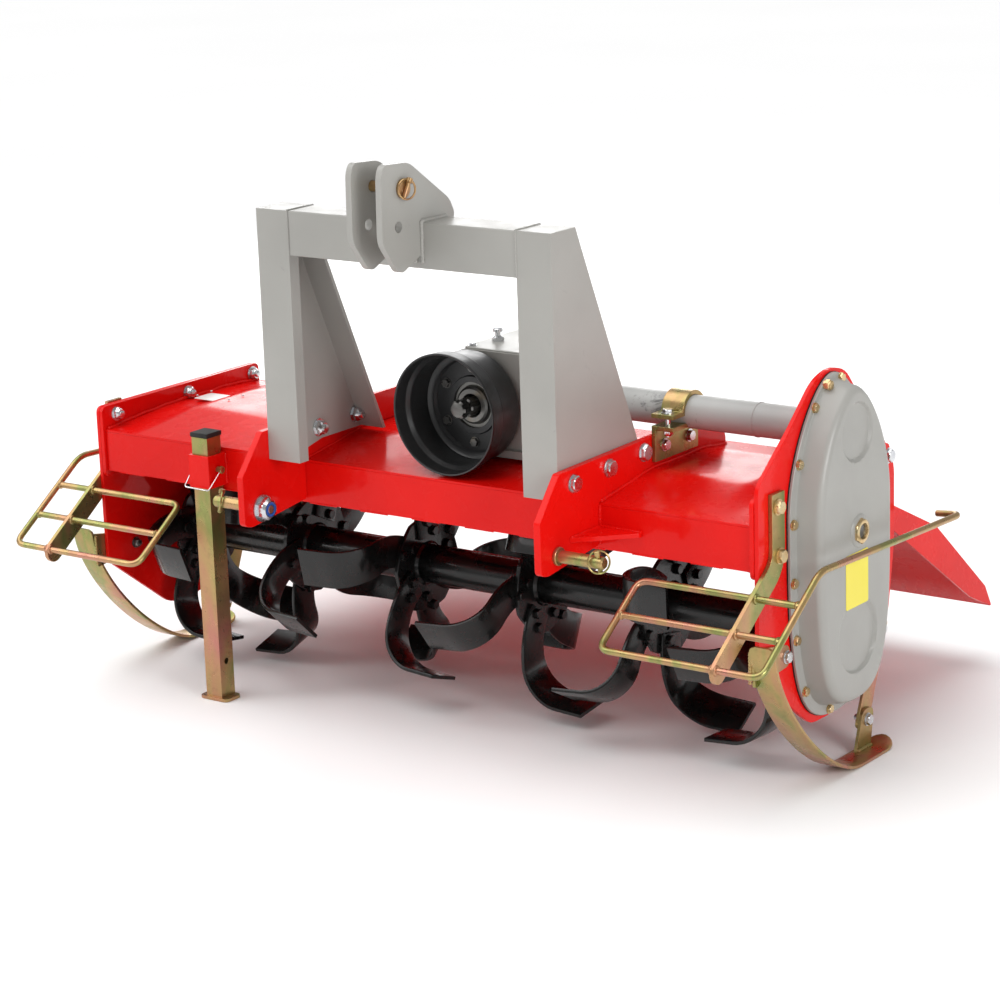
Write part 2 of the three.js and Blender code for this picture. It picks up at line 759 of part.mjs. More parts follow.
// A blade runs out along its flange, curves back as it goes, and then bends sideways.
function tine(hand) {
  const sweepAngle = THREE.MathUtils.degToRad(tineSweep);
  const bendAngle = THREE.MathUtils.degToRad(tineBend);
  const root = tineRoot();
  const side = hand * (flangeThickness / 2 + tineThickness / 2 - seatGap);
  const points = [[side, tineRootRadius, 0]];
  const sides = [[0, 0, 1]];
  for (let step = 0; step <= 4; step += 1) {
    const angle = (step / 4) * sweepAngle;
    points.push([
      side, root + tineSweepRadius * Math.sin(angle), tineSweepRadius * (1 - Math.cos(angle))]);
    sides.push([0, -Math.sin(angle), Math.cos(angle)]);
  }
  const [, bendStart, bendBack] = points[points.length - 1];
  const across = [0, -Math.sin(sweepAngle), Math.cos(sweepAngle)];
  const turn = (along, reach) => {
    points.push([
      side + hand * reach, bendStart + along * Math.cos(sweepAngle), bendBack + along * Math.sin(sweepAngle)]);
    sides.push(across);
  };
  for (let step = 1; step <= 5; step += 1) {
    const angle = (step / 5) * bendAngle;
    turn(tineBendRadius * Math.sin(angle), tineBendRadius * (1 - Math.cos(angle)));
  }
  const left = (tineReach - tineBendRadius * (1 - Math.cos(bendAngle))) / Math.sin(bendAngle);
  turn(tineBendRadius * Math.sin(bendAngle) + left * Math.cos(bendAngle), tineReach);
  return sweep(bar(tineThickness, tineWidth), vectors(points), vectors(sides));
}

// One flange with its blades. Blades of an end flange all turn inwards.
function tineSet(index) {
  const x = leftInner + firstTineSetInset + index * tineSetPitch;
  const disc = cylinderX(flangeRadius, -flangeThickness / 2, flangeThickness / 2, 0, 0, 28);
  const blades = [];
  for (let blade = 0; blade < tinesPerFlange; blade += 1) {
    const inwards = index === 0 ? 1 : -1;
    const isEnd = index === 0 || index === tineSetCount - 1;
    const hand = isEnd ? inwards : 1 - 2 * (blade % 2);
    const turn = firstTineSetAngle + index * tineSetTurn + (blade * 360) / tinesPerFlange;
    blades.push(tine(hand).rotateX(THREE.MathUtils.degToRad(turn)));
  }
  const bore = cylinderX(rotorTubeRadius + seatGap, -50, 50, 0, 0, 32);
  return cut(join(disc, ...blades), bore).translate(x, axisY, rotorZ);
}

function rotorBearing() {
  const x1 = leftOuter - seatGap;
  const body = join(
    cylinderX(62, x1 - 10, x1, axisY, rotorZ, 32),
    cylinderX(44, x1 - 30, x1 - 5, axisY, rotorZ, 32));
  return cut(body, cylinderX(rotorStubRadius + runningGap, x1 - 26, x1 + 1, axisY, rotorZ, 32));
}

// Skids, made for the right side plate and mirrored for the left
function sideways(geometry, side) {
  if (side > 0) {
    return geometry.translate(rightOuter, 0, 0);
  }
  return mirrored(geometry, side).translate(leftOuter, 0, 0);
}

function skid(side) {
  const half = skidThickness / 2;
  const top = new THREE.Vector2(skidFrontY + half, skidTopZ);
  const low = new THREE.Vector2(skidFlatY, half);
  const round = new THREE.CubicBezierCurve(
    top,
    new THREE.Vector2(top.x, top.y - skidRoundness * (top.y - low.y)),
    new THREE.Vector2(low.x - skidRoundness * (low.x - top.x), low.y),
    low);
  const centre = seatGap + skidWidth / 2;
  const run = round.getPoints(14).map(({ x, y }) => [centre, x, y]);
  run.push([centre, skidTailY - 34, half]);
  run.push([centre, skidTailY - 16, half + skidTailRise * 0.35]);
  run.push([centre, skidTailY, half + skidTailRise]);
  const strip = sweep(bar(skidThickness, skidWidth), vectors(run), new THREE.Vector3(1, 0, 0));
  const ear = plateYZ(outline([
    [top.x, skidTopZ - 8], [skidEarRearY, skidTopZ - 30, 14],
    [skidEarRearY, skidTopZ - 66, 14], [top.x + 9, skidTopZ - 76],
  ]), seatGap, seatGap + skidEar);
  const lugX = seatGap + strapThickness + seatGap;
  const lug = plateYZ(outline([
    [strapFootY - 40, half], [strapFootY + 12, half], [strapFootY + 24, strapFootZ + 18, 16],
    [strapFootY - 14, strapFootZ + 22, 16],
  ]), lugX, lugX + skidEar);
  return sideways(join(strip, ear, lug), side);
}

function skidStrap(side) {
  const along = new THREE.Vector2(strapTopY - strapFootY, strapTopZ - strapFootZ).setLength(strapWidth / 2);
  const across = new THREE.Vector2(-along.y, along.x);
  const corner = (y, z, forwards, sidewards) => [
    y + forwards * along.x + sidewards * across.x, z + forwards * along.y + sidewards * across.y, 12];
  const shape = outline([
    corner(strapFootY, strapFootZ, -1, 1), corner(strapFootY, strapFootZ, -1, -1),
    corner(strapTopY, strapTopZ, 1, -1), corner(strapTopY, strapTopZ, 1, 1),
  ]);
  return sideways(plateYZ(shape, seatGap, seatGap + strapThickness), side);
}

// Guards: one bent rod with a middle bar, welded across a flat arm
function guard(side) {
  const inX = -sidePlateThickness - guardInnerReach;
  const outX = guardOuterReach;
  const rise = (guardTopZ - guardBottomZ) / (guardTopY - guardBottomY);
  const kinkZ = guardBottomZ + rise * (guardKinkY - guardBottomY);
  const rod = rodSection(guardRodRadius);
  const frame = sweep(rod, bentLine(vectors([
    [outX, guardTopY, guardTopZ], [inX, guardTopY, guardTopZ], [inX, guardBottomY, guardBottomZ],
    [outX, guardBottomY, guardBottomZ], [outX, guardKinkY, kinkZ], [outX, guardRearY, guardRearZ],
    [outX - guardHook, guardRearY + 10, guardRearZ - 7],
  ]), guardBendRadius, 4));
  const middle = vectors([inX, outX].map((x) => [
    x, (guardTopY + guardBottomY) / 2, (guardTopZ + guardBottomZ) / 2]));
  const armX = seatGap + armThickness / 2;
  const armEnd = -4;
  const under = armWidth / 2 - guardRodRadius;
  const arm = sweep(bar(armWidth, armThickness), bentLine(vectors([
    [armX, armY, armTopZ], [armX, armY, armBendZ],
    [armX, guardBottomY - armEnd, guardBottomZ - armEnd * rise - under],
  ]), 60, 5), new THREE.Vector3(1, 0, 0));
  return sideways(join(frame, sweep(rod, middle), arm), side);
}

// Parking stand
function standSocket() {
  const half = standTube / 2 + slideGap + socketWall;
  const hole = standTube / 2 + slideGap;
  const bottomZ = socketTopZ - socketHeight;
  const tube = block(standX - half, standX + half, standY - half, standY + half, bottomZ, socketTopZ);
  return cut(tube, block(
    standX - hole, standX + hole, standY - hole, standY + hole, bottomZ - 1, socketTopZ + 1));
}

function standLeg() {
  const half = standTube / 2;
  const hole = half - standWall;
  const tube = block(standX - half, standX + half, standY - half, standY + half, footThickness - 1, standTopZ);
  const inside = block(
    standX - hole, standX + hole, standY - hole, standY + hole, footThickness, standTopZ + 1);
  const footRear = standY + half + footRearOverhang;
  const footFront = footRear - footDepth;
  const plate = plateXY(outline([
    [standX - footWidth / 2, footFront], [standX + footWidth / 2, footFront],
    [standX + footWidth / 2, footRear], [standX - footWidth / 2, footRear],
  ], footCorner), 0, footThickness);
  const pinHole = cylinderX(pinHoleRadius, standX - half - 1, standX + half + 1, standY, lowPinHoleZ, 16);
  return join(cut(tube, inside, pinHole), plate);
}

function standCap() {
  const z0 = standTopZ + seatGap;
  const half = standTube / 2 + capOverhang;
  const stem = standTube / 2 - standWall - slideGap;
  return join(
    block(standX - half, standX + half, standY - half, standY + half, z0, z0 + capThickness),
    block(standX - stem, standX + stem, standY - stem, standY + stem, z0 - 14, z0 + 1));
}

// Tailgate
function tailgate() {
  const x0 = leftInner + gateSideClearance;
  const x1 = rightInner - gateSideClearance;
  const slope = new THREE.Vector2(gateKinkY - hingeY, gateKinkZ - hingeZ).normalize();
  const startY = hingeY + gateStart * slope.x;
  const startZ = hingeZ + gateStart * slope.y;
  const points = [[startY, startZ], [gateKinkY, gateKinkZ], [gateLipY, gateLipZ], [gateEndY, gateEndZ]];
  const sheet = sweep(bar(gateThickness, x1 - x0),
    vectors(points.map(([y, z]) => [(x0 + x1) / 2, y, z])), new THREE.Vector3(1, 0, 0));
  const cheekShape = outline([
    ...points, [gateEndY - 47, gateEndZ + 20], [gateEndY - 86, gateEndZ + 39], [startY + 2, startZ - cheekDrop],
  ]);
  const cheeks = [x0, x1 - gateThickness].map((x) => plateYZ(cheekShape, x, x + gateThickness));
  const knuckles = knuckleCentres().flatMap((centre) => [-1, 1].map((hand) => {
    const x = centre + hand * (knuckleLength + knuckleGap);
    return knuckle(x, startY + 6 * slope.x, startZ + 6 * slope.y);
  }));
  return join(sheet, ...cheeks, ...knuckles);
}

function hingeRod() {
  const reach = 1.5 * knuckleLength + knuckleGap + 8;
  const centres = knuckleCentres();
  return cylinderX(hingeRodRadius, centres[0] - reach, centres[2] + reach, hingeY, hingeZ, 20);
}

// Materials
function finish(color, roughness, metalness) {
  return () => new THREE.MeshStandardMaterial({ color, roughness, metalness });
}

const redPaint = finish(0xcf1714, 0.28, 0.0);
const greyPaint = finish(0x8f908d, 0.42, 0.0);
const blackPaint = finish(0x16171a, 0.3, 0.0);
const yellowZinc = finish(0xb59a5a, 0.35, 0.9);
const silverZinc = finish(0xb4b8bc, 0.3, 0.95);
const blackPlastic = finish(0x141416, 0.5, 0.0);
const blackRubber = finish(0x101010, 0.8, 0.0);

const tiller = new THREE.Group();

function add(name, geometry, material) {
  const mesh = new THREE.Mesh(geometry, material());
  mesh.name = name;
  tiller.add(mesh);
}

const sides = [['left', -1], ['right', 1]];

add('deck_cover', deckCover(), redPaint);
add('front_beam', frontBeam(), redPaint);
add('deck_end_plate_left', endPlate(leftInner + seatGap), redPaint);
add('deck_end_plate_right', endPlate(rightInner - seatGap - endPlateThickness), redPaint);
add('side_plate_left', leftSidePlate(), redPaint);
add('side_plate_right', rightSidePlate(), redPaint);
for (const [name, side] of sides) {
  add(`hitch_plate_${name}`, hitchPlate(side), redPaint);
  add(`hitch_gusset_${name}`, hitchGusset(side), redPaint);
  add(`lower_pin_${name}`, lowerPin(side), yellowZinc);
  add(`mast_leg_${name}`, mastLeg(side), greyPaint);
  add(`top_link_ear_${name}`, topLinkEar(side), greyPaint);
  add(`skid_${name}`, skid(side), yellowZinc);
  add(`skid_strap_${name}`, skidStrap(side), yellowZinc);
  add(`guard_${name}`, guard(side), yellowZinc);
}
add('mast_crossbar', mastCrossbar(), greyPaint);
add('top_link_pin', topLinkPin(), yellowZinc);
add('gearbox', gearbox(), greyPaint);
add('pto_shaft', ptoShaft(), silverZinc);
add('pto_shield', ptoShield(), blackPlastic);
add('cross_tube', crossTube(), greyPaint);
add('tube_clamp_bracket', clampBracket(), yellowZinc);
add('tube_clamp_cap', clampCap(), yellowZinc);
add('drive_gasket', driveGasket(), blackRubber);
add('drive_cover', driveCover(), greyPaint);
add('rotor_tube', rotorTube(), blackPaint);
for (let index = 0; index < tineSetCount; index += 1) {
  add(`tine_set_${index + 1}`, tineSet(index), blackPaint);
}
add('rotor_bearing', rotorBearing(), blackPaint);
add('stand_socket', standSocket(), redPaint);
add('stand_leg', standLeg(), yellowZinc);
add('stand_cap', standCap(), blackPlastic);
add('tailgate', tailgate(), redPaint);
add('tailgate_hinge_rod', hingeRod(), silverZinc);

// The origin is the middle of the base of the whole machine.
const extent = new THREE.Box3().setFromObject(tiller);
const middle = extent.getCenter(new THREE.Vector3());
tiller.position.set(-middle.x, -middle.y, -extent.min.z);

export default tiller;
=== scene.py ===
from math import cos, pi, radians, sin

import bmesh
import bpy
import numpy as np
from numpy.linalg import norm
from mathutils import Matrix, Vector


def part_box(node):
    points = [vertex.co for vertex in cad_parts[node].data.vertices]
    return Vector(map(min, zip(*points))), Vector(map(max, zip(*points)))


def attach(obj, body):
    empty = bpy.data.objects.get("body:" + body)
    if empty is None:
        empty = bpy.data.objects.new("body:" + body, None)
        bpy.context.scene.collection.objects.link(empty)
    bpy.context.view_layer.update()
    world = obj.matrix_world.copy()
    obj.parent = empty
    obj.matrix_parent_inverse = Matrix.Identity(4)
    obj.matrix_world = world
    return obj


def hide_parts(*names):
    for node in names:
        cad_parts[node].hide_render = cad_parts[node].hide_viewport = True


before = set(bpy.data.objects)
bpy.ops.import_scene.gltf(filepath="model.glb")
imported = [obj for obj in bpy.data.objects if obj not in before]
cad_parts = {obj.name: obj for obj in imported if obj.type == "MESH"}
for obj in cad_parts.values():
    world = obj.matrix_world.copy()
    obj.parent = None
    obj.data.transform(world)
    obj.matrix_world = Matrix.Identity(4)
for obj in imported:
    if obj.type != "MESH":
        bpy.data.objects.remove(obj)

scene = bpy.context.scene
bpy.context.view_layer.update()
print("stage: frame loaded,", len(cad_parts), "nodes")

# Places below are in millimetres: x from the middle of the hitch, y from the front face of the mast,
# z from the ground. The middle of the hitch comes from the mast's own box.
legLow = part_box("mast_leg_left")[0]
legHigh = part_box("mast_leg_right")[1]
hitchMiddle = np.array([(legLow.x + legHigh.x) / 2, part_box("mast_crossbar")[0].y, 0.0])
randomDraws = np.random.default_rng(11)


def nodeBox(name):
    low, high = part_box(name)
    return (np.array(low) - hitchMiddle) * 1000, (np.array(high) - hitchMiddle) * 1000


def newMaterial(name, settings):
    material = bpy.data.materials.new(name)
    material.use_nodes = True
    tree = material.node_tree
    shader = tree.nodes["Principled BSDF"]
    for socket, value in settings.items():
        shader.inputs[socket].default_value = value
    place = tree.nodes.new("ShaderNodeTexCoord").outputs["Object"]
    return material, tree, shader, place


def noise(tree, place, scale, detail, rough=0.55, distortion=0.0, stretch=(1, 1, 1)):
    mapping = tree.nodes.new("ShaderNodeMapping")
    mapping.inputs["Scale"].default_value = stretch
    tree.links.new(place, mapping.inputs["Vector"])
    pattern = tree.nodes.new("ShaderNodeTexNoise")
    for socket, value in (("Scale", scale), ("Detail", detail), ("Roughness", rough), ("Distortion", distortion)):
        pattern.inputs[socket].default_value = value
    tree.links.new(mapping.outputs["Vector"], pattern.inputs["Vector"])
    return pattern.outputs["Fac"]


def ramp(tree, value, stops):
    node = tree.nodes.new("ShaderNodeValToRGB")
    elements = node.color_ramp.elements
    while len(elements) < len(stops):
        elements.new(0.5)
    for element, (position, colour) in zip(elements, stops):
        element.position = position
        element.color = (*colour, 1.0)
    tree.links.new(value, node.inputs["Fac"])
    return node.outputs["Color"]


def between(tree, value, low, high, start=0.35, end=0.65):
    node = tree.nodes.new("ShaderNodeMapRange")
    for socket, number in (("From Min", start), ("From Max", end), ("To Min", low), ("To Max", high)):
        node.inputs[socket].default_value = number
    tree.links.new(value, node.inputs["Value"])
    return node.outputs["Result"]


def tint(tree, amount, under, over):
    node = tree.nodes.new("ShaderNodeMix")
    node.data_type = "RGBA"
    tree.links.new(amount, node.inputs["Factor"])
    tree.links.new(under, node.inputs["A"])
    node.inputs["B"].default_value = (*over, 1.0)
    return node.outputs["Result"]


def relief(tree, shader, height, distance):
    node = tree.nodes.new("ShaderNodeBump")
    node.inputs["Distance"].default_value = distance
    tree.links.new(height, node.inputs["Height"])
    tree.links.new(node.outputs["Normal"], shader.inputs["Normal"])


def finishSurface(material, tree, shader, colour, smear, look, height, depth):
    tree.links.new(colour, shader.inputs["Base Color"])
    tree.links.new(between(tree, smear, *look["roughness"]), shader.inputs["Roughness"])
    relief(tree, shader, height, depth)
    return material


# Paint: its colour drifts slowly, thin marks and dust lie on it, its gloss is uneven, and its skin
# has the soft ripple of a sprayed coat.
def paintMaterial(name, look):
    look = {**usualPaint, **look}
    material, tree, shader, place = newMaterial(name, {
        "Metallic": 0.0, "Coat Weight": look["coat"][0], "Coat Roughness": look["coat"][1],
        "Specular IOR Level": look["specular"]})
    drift = noise(tree, place, 4.0, 3.0)
    colour = ramp(tree, drift, [(0.32, look["shade"]), (0.68, look["colour"])])
    marks = noise(tree, place, look["markScale"], 9.0, 0.78, 0.8)
    amount = between(tree, marks, 0.0, look["markAmount"], look["markStart"], look["markStart"] + 0.08)
    colour = tint(tree, amount, colour, look["markColour"])
    smear = noise(tree, place, 17.0, 6.0, 0.62, 0.4)
    ripple = noise(tree, place, 150.0, 2.0)
    return finishSurface(material, tree, shader, colour, smear, look, ripple, look["ripple"])


# Plated steel: bands of thin colour over bright metal, with a fine grain.
def platedMaterial(name, look):
    look = {**usualPlating, **look}
    material, tree, shader, place = newMaterial(name, {"Metallic": look["metallic"]})
    bands = noise(tree, place, look["bandScale"], 3.0, 0.6, 0.5, look["stretch"])
    colour = ramp(tree, bands, look["bands"])
    stain = noise(tree, place, 60.0, 8.0, 0.75)
    colour = tint(tree, between(tree, stain, 0.0, look["stainAmount"], 0.52, 0.72), colour, look["stain"])
    smear = noise(tree, place, 35.0, 6.0, 0.65, 0.3)
    grain = noise(tree, place, look["grainScale"], 3.0)
    return finishSurface(material, tree, shader, colour, smear, look, grain, look["grain"])


usualPaint = {"coat": (0.0, 0.2), "specular": 0.5, "markAmount": 0.3, "markStart": 0.62}
usualPlating = {"stretch": (1.0, 1.0, 1.0), "stainAmount": 0.4, "grainScale": 400.0, "grain": 0.00004}
# Each finish: its material's name, its slot, and what differs from the usual.
looks = {
    "redPaint": ("gloss_red_paint", "red_paint", {
        "colour": (0.80, 0.0065, 0.004), "shade": (0.70, 0.004, 0.003), "coat": (0.2, 0.03),
        "roughness": (0.2, 0.32), "markColour": (0.5, 0.015, 0.01), "markAmount": 0.35, "markScale": 22.0,
        "ripple": 0.00008, "specular": 0.08}),
    "greyPaint": ("satin_grey_paint", "grey_paint", {
        "colour": (0.38, 0.372, 0.346), "shade": (0.335, 0.328, 0.305), "coat": (0.15, 0.2),
        "roughness": (0.36, 0.5), "markColour": (0.16, 0.155, 0.15), "markScale": 16.0, "ripple": 0.0001}),
    "coverPaint": ("drive_case_grey_paint", "grey_paint", {
        "colour": (0.35, 0.344, 0.32), "shade": (0.31, 0.304, 0.284), "coat": (0.2, 0.22),
        "roughness": (0.34, 0.48), "markColour": (0.2, 0.195, 0.19), "markAmount": 0.25, "markStart": 0.64,
        "markScale": 14.0, "ripple": 0.00016}),
    "tubePaint": ("scuffed_grey_paint", "grey_paint", {
        "colour": (0.47, 0.468, 0.452), "shade": (0.34, 0.34, 0.33), "coat": (0.1, 0.25),
        "roughness": (0.38, 0.55), "markColour": (0.045, 0.042, 0.04), "markAmount": 0.8, "markStart": 0.585,
        "markScale": 12.0, "ripple": 0.00012}),
    "blackPaint": ("gloss_black_paint", "black_paint", {
        "colour": (0.0075, 0.0073, 0.0068), "shade": (0.004, 0.004, 0.004), "coat": (0.25, 0.07),
        "roughness": (0.2, 0.34), "markColour": (0.06, 0.055, 0.05), "markAmount": 0.4, "markStart": 0.6,
        "markScale": 30.0, "ripple": 0.0002, "specular": 0.32}),
    "blackPlastic": ("moulded_black_plastic", "black_plastic", {
        "colour": (0.024, 0.024, 0.0245), "shade": (0.016, 0.016, 0.0165), "roughness": (0.28, 0.42),
        "markColour": (0.05, 0.05, 0.05), "markAmount": 0.25, "markScale": 26.0, "ripple": 0.00025}),
    "rubber": ("black_gasket", "black_rubber", {
        "colour": (0.01, 0.01, 0.01), "shade": (0.006, 0.006, 0.006), "coat": (0.0, 0.3), "roughness": (0.6, 0.8),
        "markColour": (0.05, 0.05, 0.05), "markStart": 0.6, "markScale": 40.0, "ripple": 0.0002}),
    "yellowZinc": ("yellow_zinc_plating", "yellow_zinc", {
        "metallic": 0.85, "bandScale": 8.0, "stretch": (1.2, 1.0, 0.45),
        "bands": [(0.3, (0.5, 0.21, 0.165)), (0.42, (0.47, 0.26, 0.14)), (0.51, (0.44, 0.31, 0.13)),
                  (0.59, (0.27, 0.29, 0.095)), (0.67, (0.44, 0.28, 0.13)), (0.77, (0.5, 0.21, 0.17))],
        "stain": (0.16, 0.11, 0.06), "stainAmount": 0.35, "roughness": (0.24, 0.4),
        "grainScale": 260.0, "grain": 0.00008}),
    "brassZinc": ("brass_coloured_plating", "yellow_zinc", {
        "metallic": 0.95, "bandScale": 40.0, "stain": (0.15, 0.1, 0.06), "roughness": (0.22, 0.38),
        "bands": [(0.3, (0.62, 0.42, 0.2)), (0.5, (0.7, 0.52, 0.28)), (0.7, (0.6, 0.5, 0.3))]}),
    "silverZinc": ("bright_zinc_plating", "silver_zinc", {
        "metallic": 1.0, "bandScale": 30.0, "stain": (0.3, 0.29, 0.27), "roughness": (0.18, 0.34),
        "bands": [(0.3, (0.6, 0.61, 0.64)), (0.5, (0.72, 0.73, 0.75)), (0.7, (0.62, 0.63, 0.62))]}),
    "darkSteel": ("machined_dark_steel", "silver_zinc", {
        "metallic": 0.9, "bandScale": 25.0, "stain": (0.05, 0.045, 0.04), "stainAmount": 0.5,
        "bands": [(0.3, (0.12, 0.115, 0.11)), (0.55, (0.2, 0.195, 0.185)), (0.75, (0.26, 0.2, 0.14))],
        "roughness": (0.26, 0.42), "grain": 0.00005}),
    "blueNylon": ("blue_nylon_insert", "black_plastic", {
        "colour": (0.02, 0.1, 0.42), "shade": (0.015, 0.075, 0.33), "roughness": (0.35, 0.5),
        "markColour": (0.03, 0.05, 0.12), "markStart": 0.6, "markScale": 60.0, "ripple": 0.0001}),
    "blankLabel": ("blank_yellow_label", "black_plastic", {
        "colour": (0.83, 0.72, 0.03), "shade": (0.78, 0.66, 0.03), "coat": (0.3, 0.15),
        "roughness": (0.3, 0.42), "markColour": (0.45, 0.38, 0.05), "markStart": 0.64, "markScale": 40.0,
        "ripple": 0.00006}),
    "blankPlate": ("blank_white_plate", "silver_zinc", {
        "colour": (0.72, 0.72, 0.7), "shade": (0.62, 0.62, 0.61), "coat": (0.3, 0.15),
        "roughness": (0.25, 0.4), "markColour": (0.3, 0.3, 0.3), "markAmount": 0.35, "markScale": 50.0,
        "ripple": 0.00006}),
}
finishes, finishSlots = {}, {}
for finish, (name, slot, look) in looks.items():
    finishes[finish] = (platedMaterial if "bands" in look else paintMaterial)(name, look)
    finishSlots[finish] = slot
print("stage: finishes made")


# Rings of points, joined ring to ring by quads. The ends are closed flat, or the last ring joins the first.
def skin(rings, loop=False):
    rings = np.asarray(rings, float)
    rows, columns = rings.shape[:2]
    row = np.arange(rows if loop else rows - 1)[:, None]
    column = np.arange(columns)[None, :]
    nextRow = (row + 1) % rows * columns
    nextColumn = (column + 1) % columns
    row = row * columns
    quads = np.stack([row + column, row + nextColumn, nextRow + nextColumn, nextRow + column], -1)
    faces = quads.reshape(-1, 4).tolist()
    if not loop:
        last = (rows - 1) * columns
        faces.append(list(range(columns))[::-1])
        faces.append(list(range(last, last + columns)))
    return rings.reshape(-1, 3), faces


def acrossAxis(axis):
    axis = np.asarray(axis, float) / norm(axis)
    start = np.eye(3)[np.argmin(np.abs(axis))]
    first = np.cross(axis, start)
    first /= norm(first)
    return axis, first, np.cross(axis, first)


# Turned shape: at each profile point (along, radius, sixSided) a ring round the axis. sixSided 1 gives a
# hexagon whose corners are at the radius, 0 a circle, and values between a blend.
def turned(profile, centre, axis, sides=32, loop=False, spin=0.0):
    profile = np.array([(*point, 0.0)[:3] for point in profile], float)
    axis, first, second = acrossAxis(axis)
    angle = np.arange(sides) * 2 * pi / sides
    hexagon = cos(pi / 6) / np.cos(np.mod(angle, pi / 3) - pi / 6)
    radius = profile[:, 1:2] * (1 + profile[:, 2:3] * (hexagon[None, :] - 1))
    direction = np.cos(angle + spin)[:, None] * first + np.sin(angle + spin)[:, None] * second
    rings = np.asarray(centre, float) + profile[:, 0, None, None] * axis + radius[:, :, None] * direction
    return skin(rings, loop)


# Profile of a ring between two flat faces, its outer corners cut by 1 mm.
def ringProfile(half, bore, radius, sixSided=0.0):
    return [(-half, bore), (-half, radius - 1, sixSided), (-half + 1, radius, sixSided),
            (half - 1, radius, sixSided), (half, radius - 1, sixSided), (half, bore)]


def unit(vectors):
    return vectors / norm(vectors, axis=-1, keepdims=True)


# Circle carried along a path, kept square to it. The radius may change from point to point.
def tube(path, radius, sides=12, loop=False):
    path = np.asarray(path, float)
    if loop:
        tangent = unit(np.roll(path, -1, 0) - np.roll(path, 1, 0))
    else:
        tangent = unit(np.gradient(path, axis=0))
    reference = np.eye(3)[np.argmin(np.abs(tangent).max(0))]
    first = unit(np.cross(tangent, reference))
    second = np.cross(first, tangent)
    angle = (np.arange(sides) * 2 * pi / sides)[None, :, None]
    radius = np.broadcast_to(np.asarray(radius, float), (len(path),))[:, None, None]
    return skin(path[:, None] + radius * (np.cos(angle) * first[:, None] + np.sin(angle) * second[:, None]), loop)


# Quadratic curve across a corner, from a reach before it to a reach after it.
def cornerCurve(before, corner, after, reachBefore, reachAfter, steps):
    blend = np.linspace(0, 1, steps)[:, None]
    start = corner + unit(before - corner) * reachBefore
    end = corner + unit(after - corner) * reachAfter
    return (1 - blend) ** 2 * start + 2 * blend * (1 - blend) * corner + blend ** 2 * end


# Straight runs whose corners are rounded by curves that start "radius" away, or just under halfway.
def roundedPath(corners, radius, steps=6):
    corners = np.asarray(corners, float)
    parts = [corners[:1]]
    for before, corner, after in zip(corners[:-2], corners[1:-1], corners[2:]):
        reaches = [min(radius, norm(end - corner) * 0.48) for end in (before, after)]
        parts.append(cornerCurve(before, corner, after, *reaches, steps))
    parts.append(corners[-1:])
    return np.concatenate(parts)


# Closed outline through corners given as (y, z, radius).
def roundedOutline(corners):
    corners = np.array(corners, float)
    parts = []
    for before, corner, after in zip(np.roll(corners, 1, 0), corners, np.roll(corners, -1, 0)):
        before, after, radius, corner = before[:2], after[:2], corner[2], corner[:2]
        reach = min(radius, 0.45 * norm(before - corner), 0.45 * norm(after - corner))
        parts.append(cornerCurve(before, corner, after, reach, reach, 6))
    return np.concatenate(parts)


def resample(path, step):
    path = np.asarray(path, float)
    distance = np.concatenate([[0], np.cumsum(norm(np.diff(path, axis=0), axis=1))])
    count = max(3, int(distance[-1] / step) + 1)
    even = np.linspace(0, distance[-1], count)
    return np.stack([np.interp(even, distance, path[:, k]) for k in range(3)], 1), even


# Weld bead: a tube whose radius swells once per ripple, on a path that wanders a little.
def weldBead(corners, radius, ripple, wander):
    path, along = resample(corners, ripple / 4)
    swell = 0.82 + 0.26 * np.abs(np.sin(pi * along / ripple))
    drift = np.stack([np.sin(along / 23 + phase) + 0.5 * np.sin(along / 9 + 2 * phase)
                      for phase in randomDraws.uniform(0, 6, 3)], 1)
    swell[[0, -1]] *= 0.4
    return tube(path + wander * drift * 0.5, radius * swell, 8)


# Flat bar with rounded edges: a section of the thickness and width carried along given points with a given
# width direction at each. The width may change from point to point: the section is drawn ten corners wide,
# and each half of it moves outwards by half the width less five corners.
def flatBar(points, widths, thickness, width, corner=1.6):
    points = np.asarray(points, float)
    widths = unit(np.broadcast_to(np.asarray(widths, float), points.shape))
    tangent = unit(np.gradient(points, axis=0))
    widths = unit(widths - tangent * (tangent * widths).sum(1, keepdims=True))
    across = np.cross(tangent, widths)
    section = roundedRectangle(thickness, 10 * corner, corner, 3)
    width = np.broadcast_to(np.asarray(width, float), (len(points),))[:, None]
    spread = section[None, :, 1] + np.sign(section[None, :, 1]) * (width / 2 - 5 * corner)
    return skin(points[:, None] + section[None, :, :1] * across[:, None] + spread[:, :, None] * widths[:, None])


# Flat plate square to x, from a closed outline of (y, z) points.
def sidePlate(outline, x0, x1):
    outline = np.asarray(outline, float)
    return skin([np.column_stack([np.full(len(outline), x), outline]) for x in (x0, x1)])


# Outline of a strip that follows a flat path at a half width, with a round cap at its end.
def stripOutline(path, half):
    path = np.asarray(path, float)
    along = unit(np.gradient(path, axis=0))
    across = np.stack([-along[:, 1], along[:, 0]], 1)
    angle = np.linspace(pi / 2, -pi / 2, 12)[1:-1, None]
    cap = path[-1] + half * (np.cos(angle) * along[-1] + np.sin(angle) * across[-1])
    return np.concatenate([path + half * across, cap, (path - half * across)[::-1]])


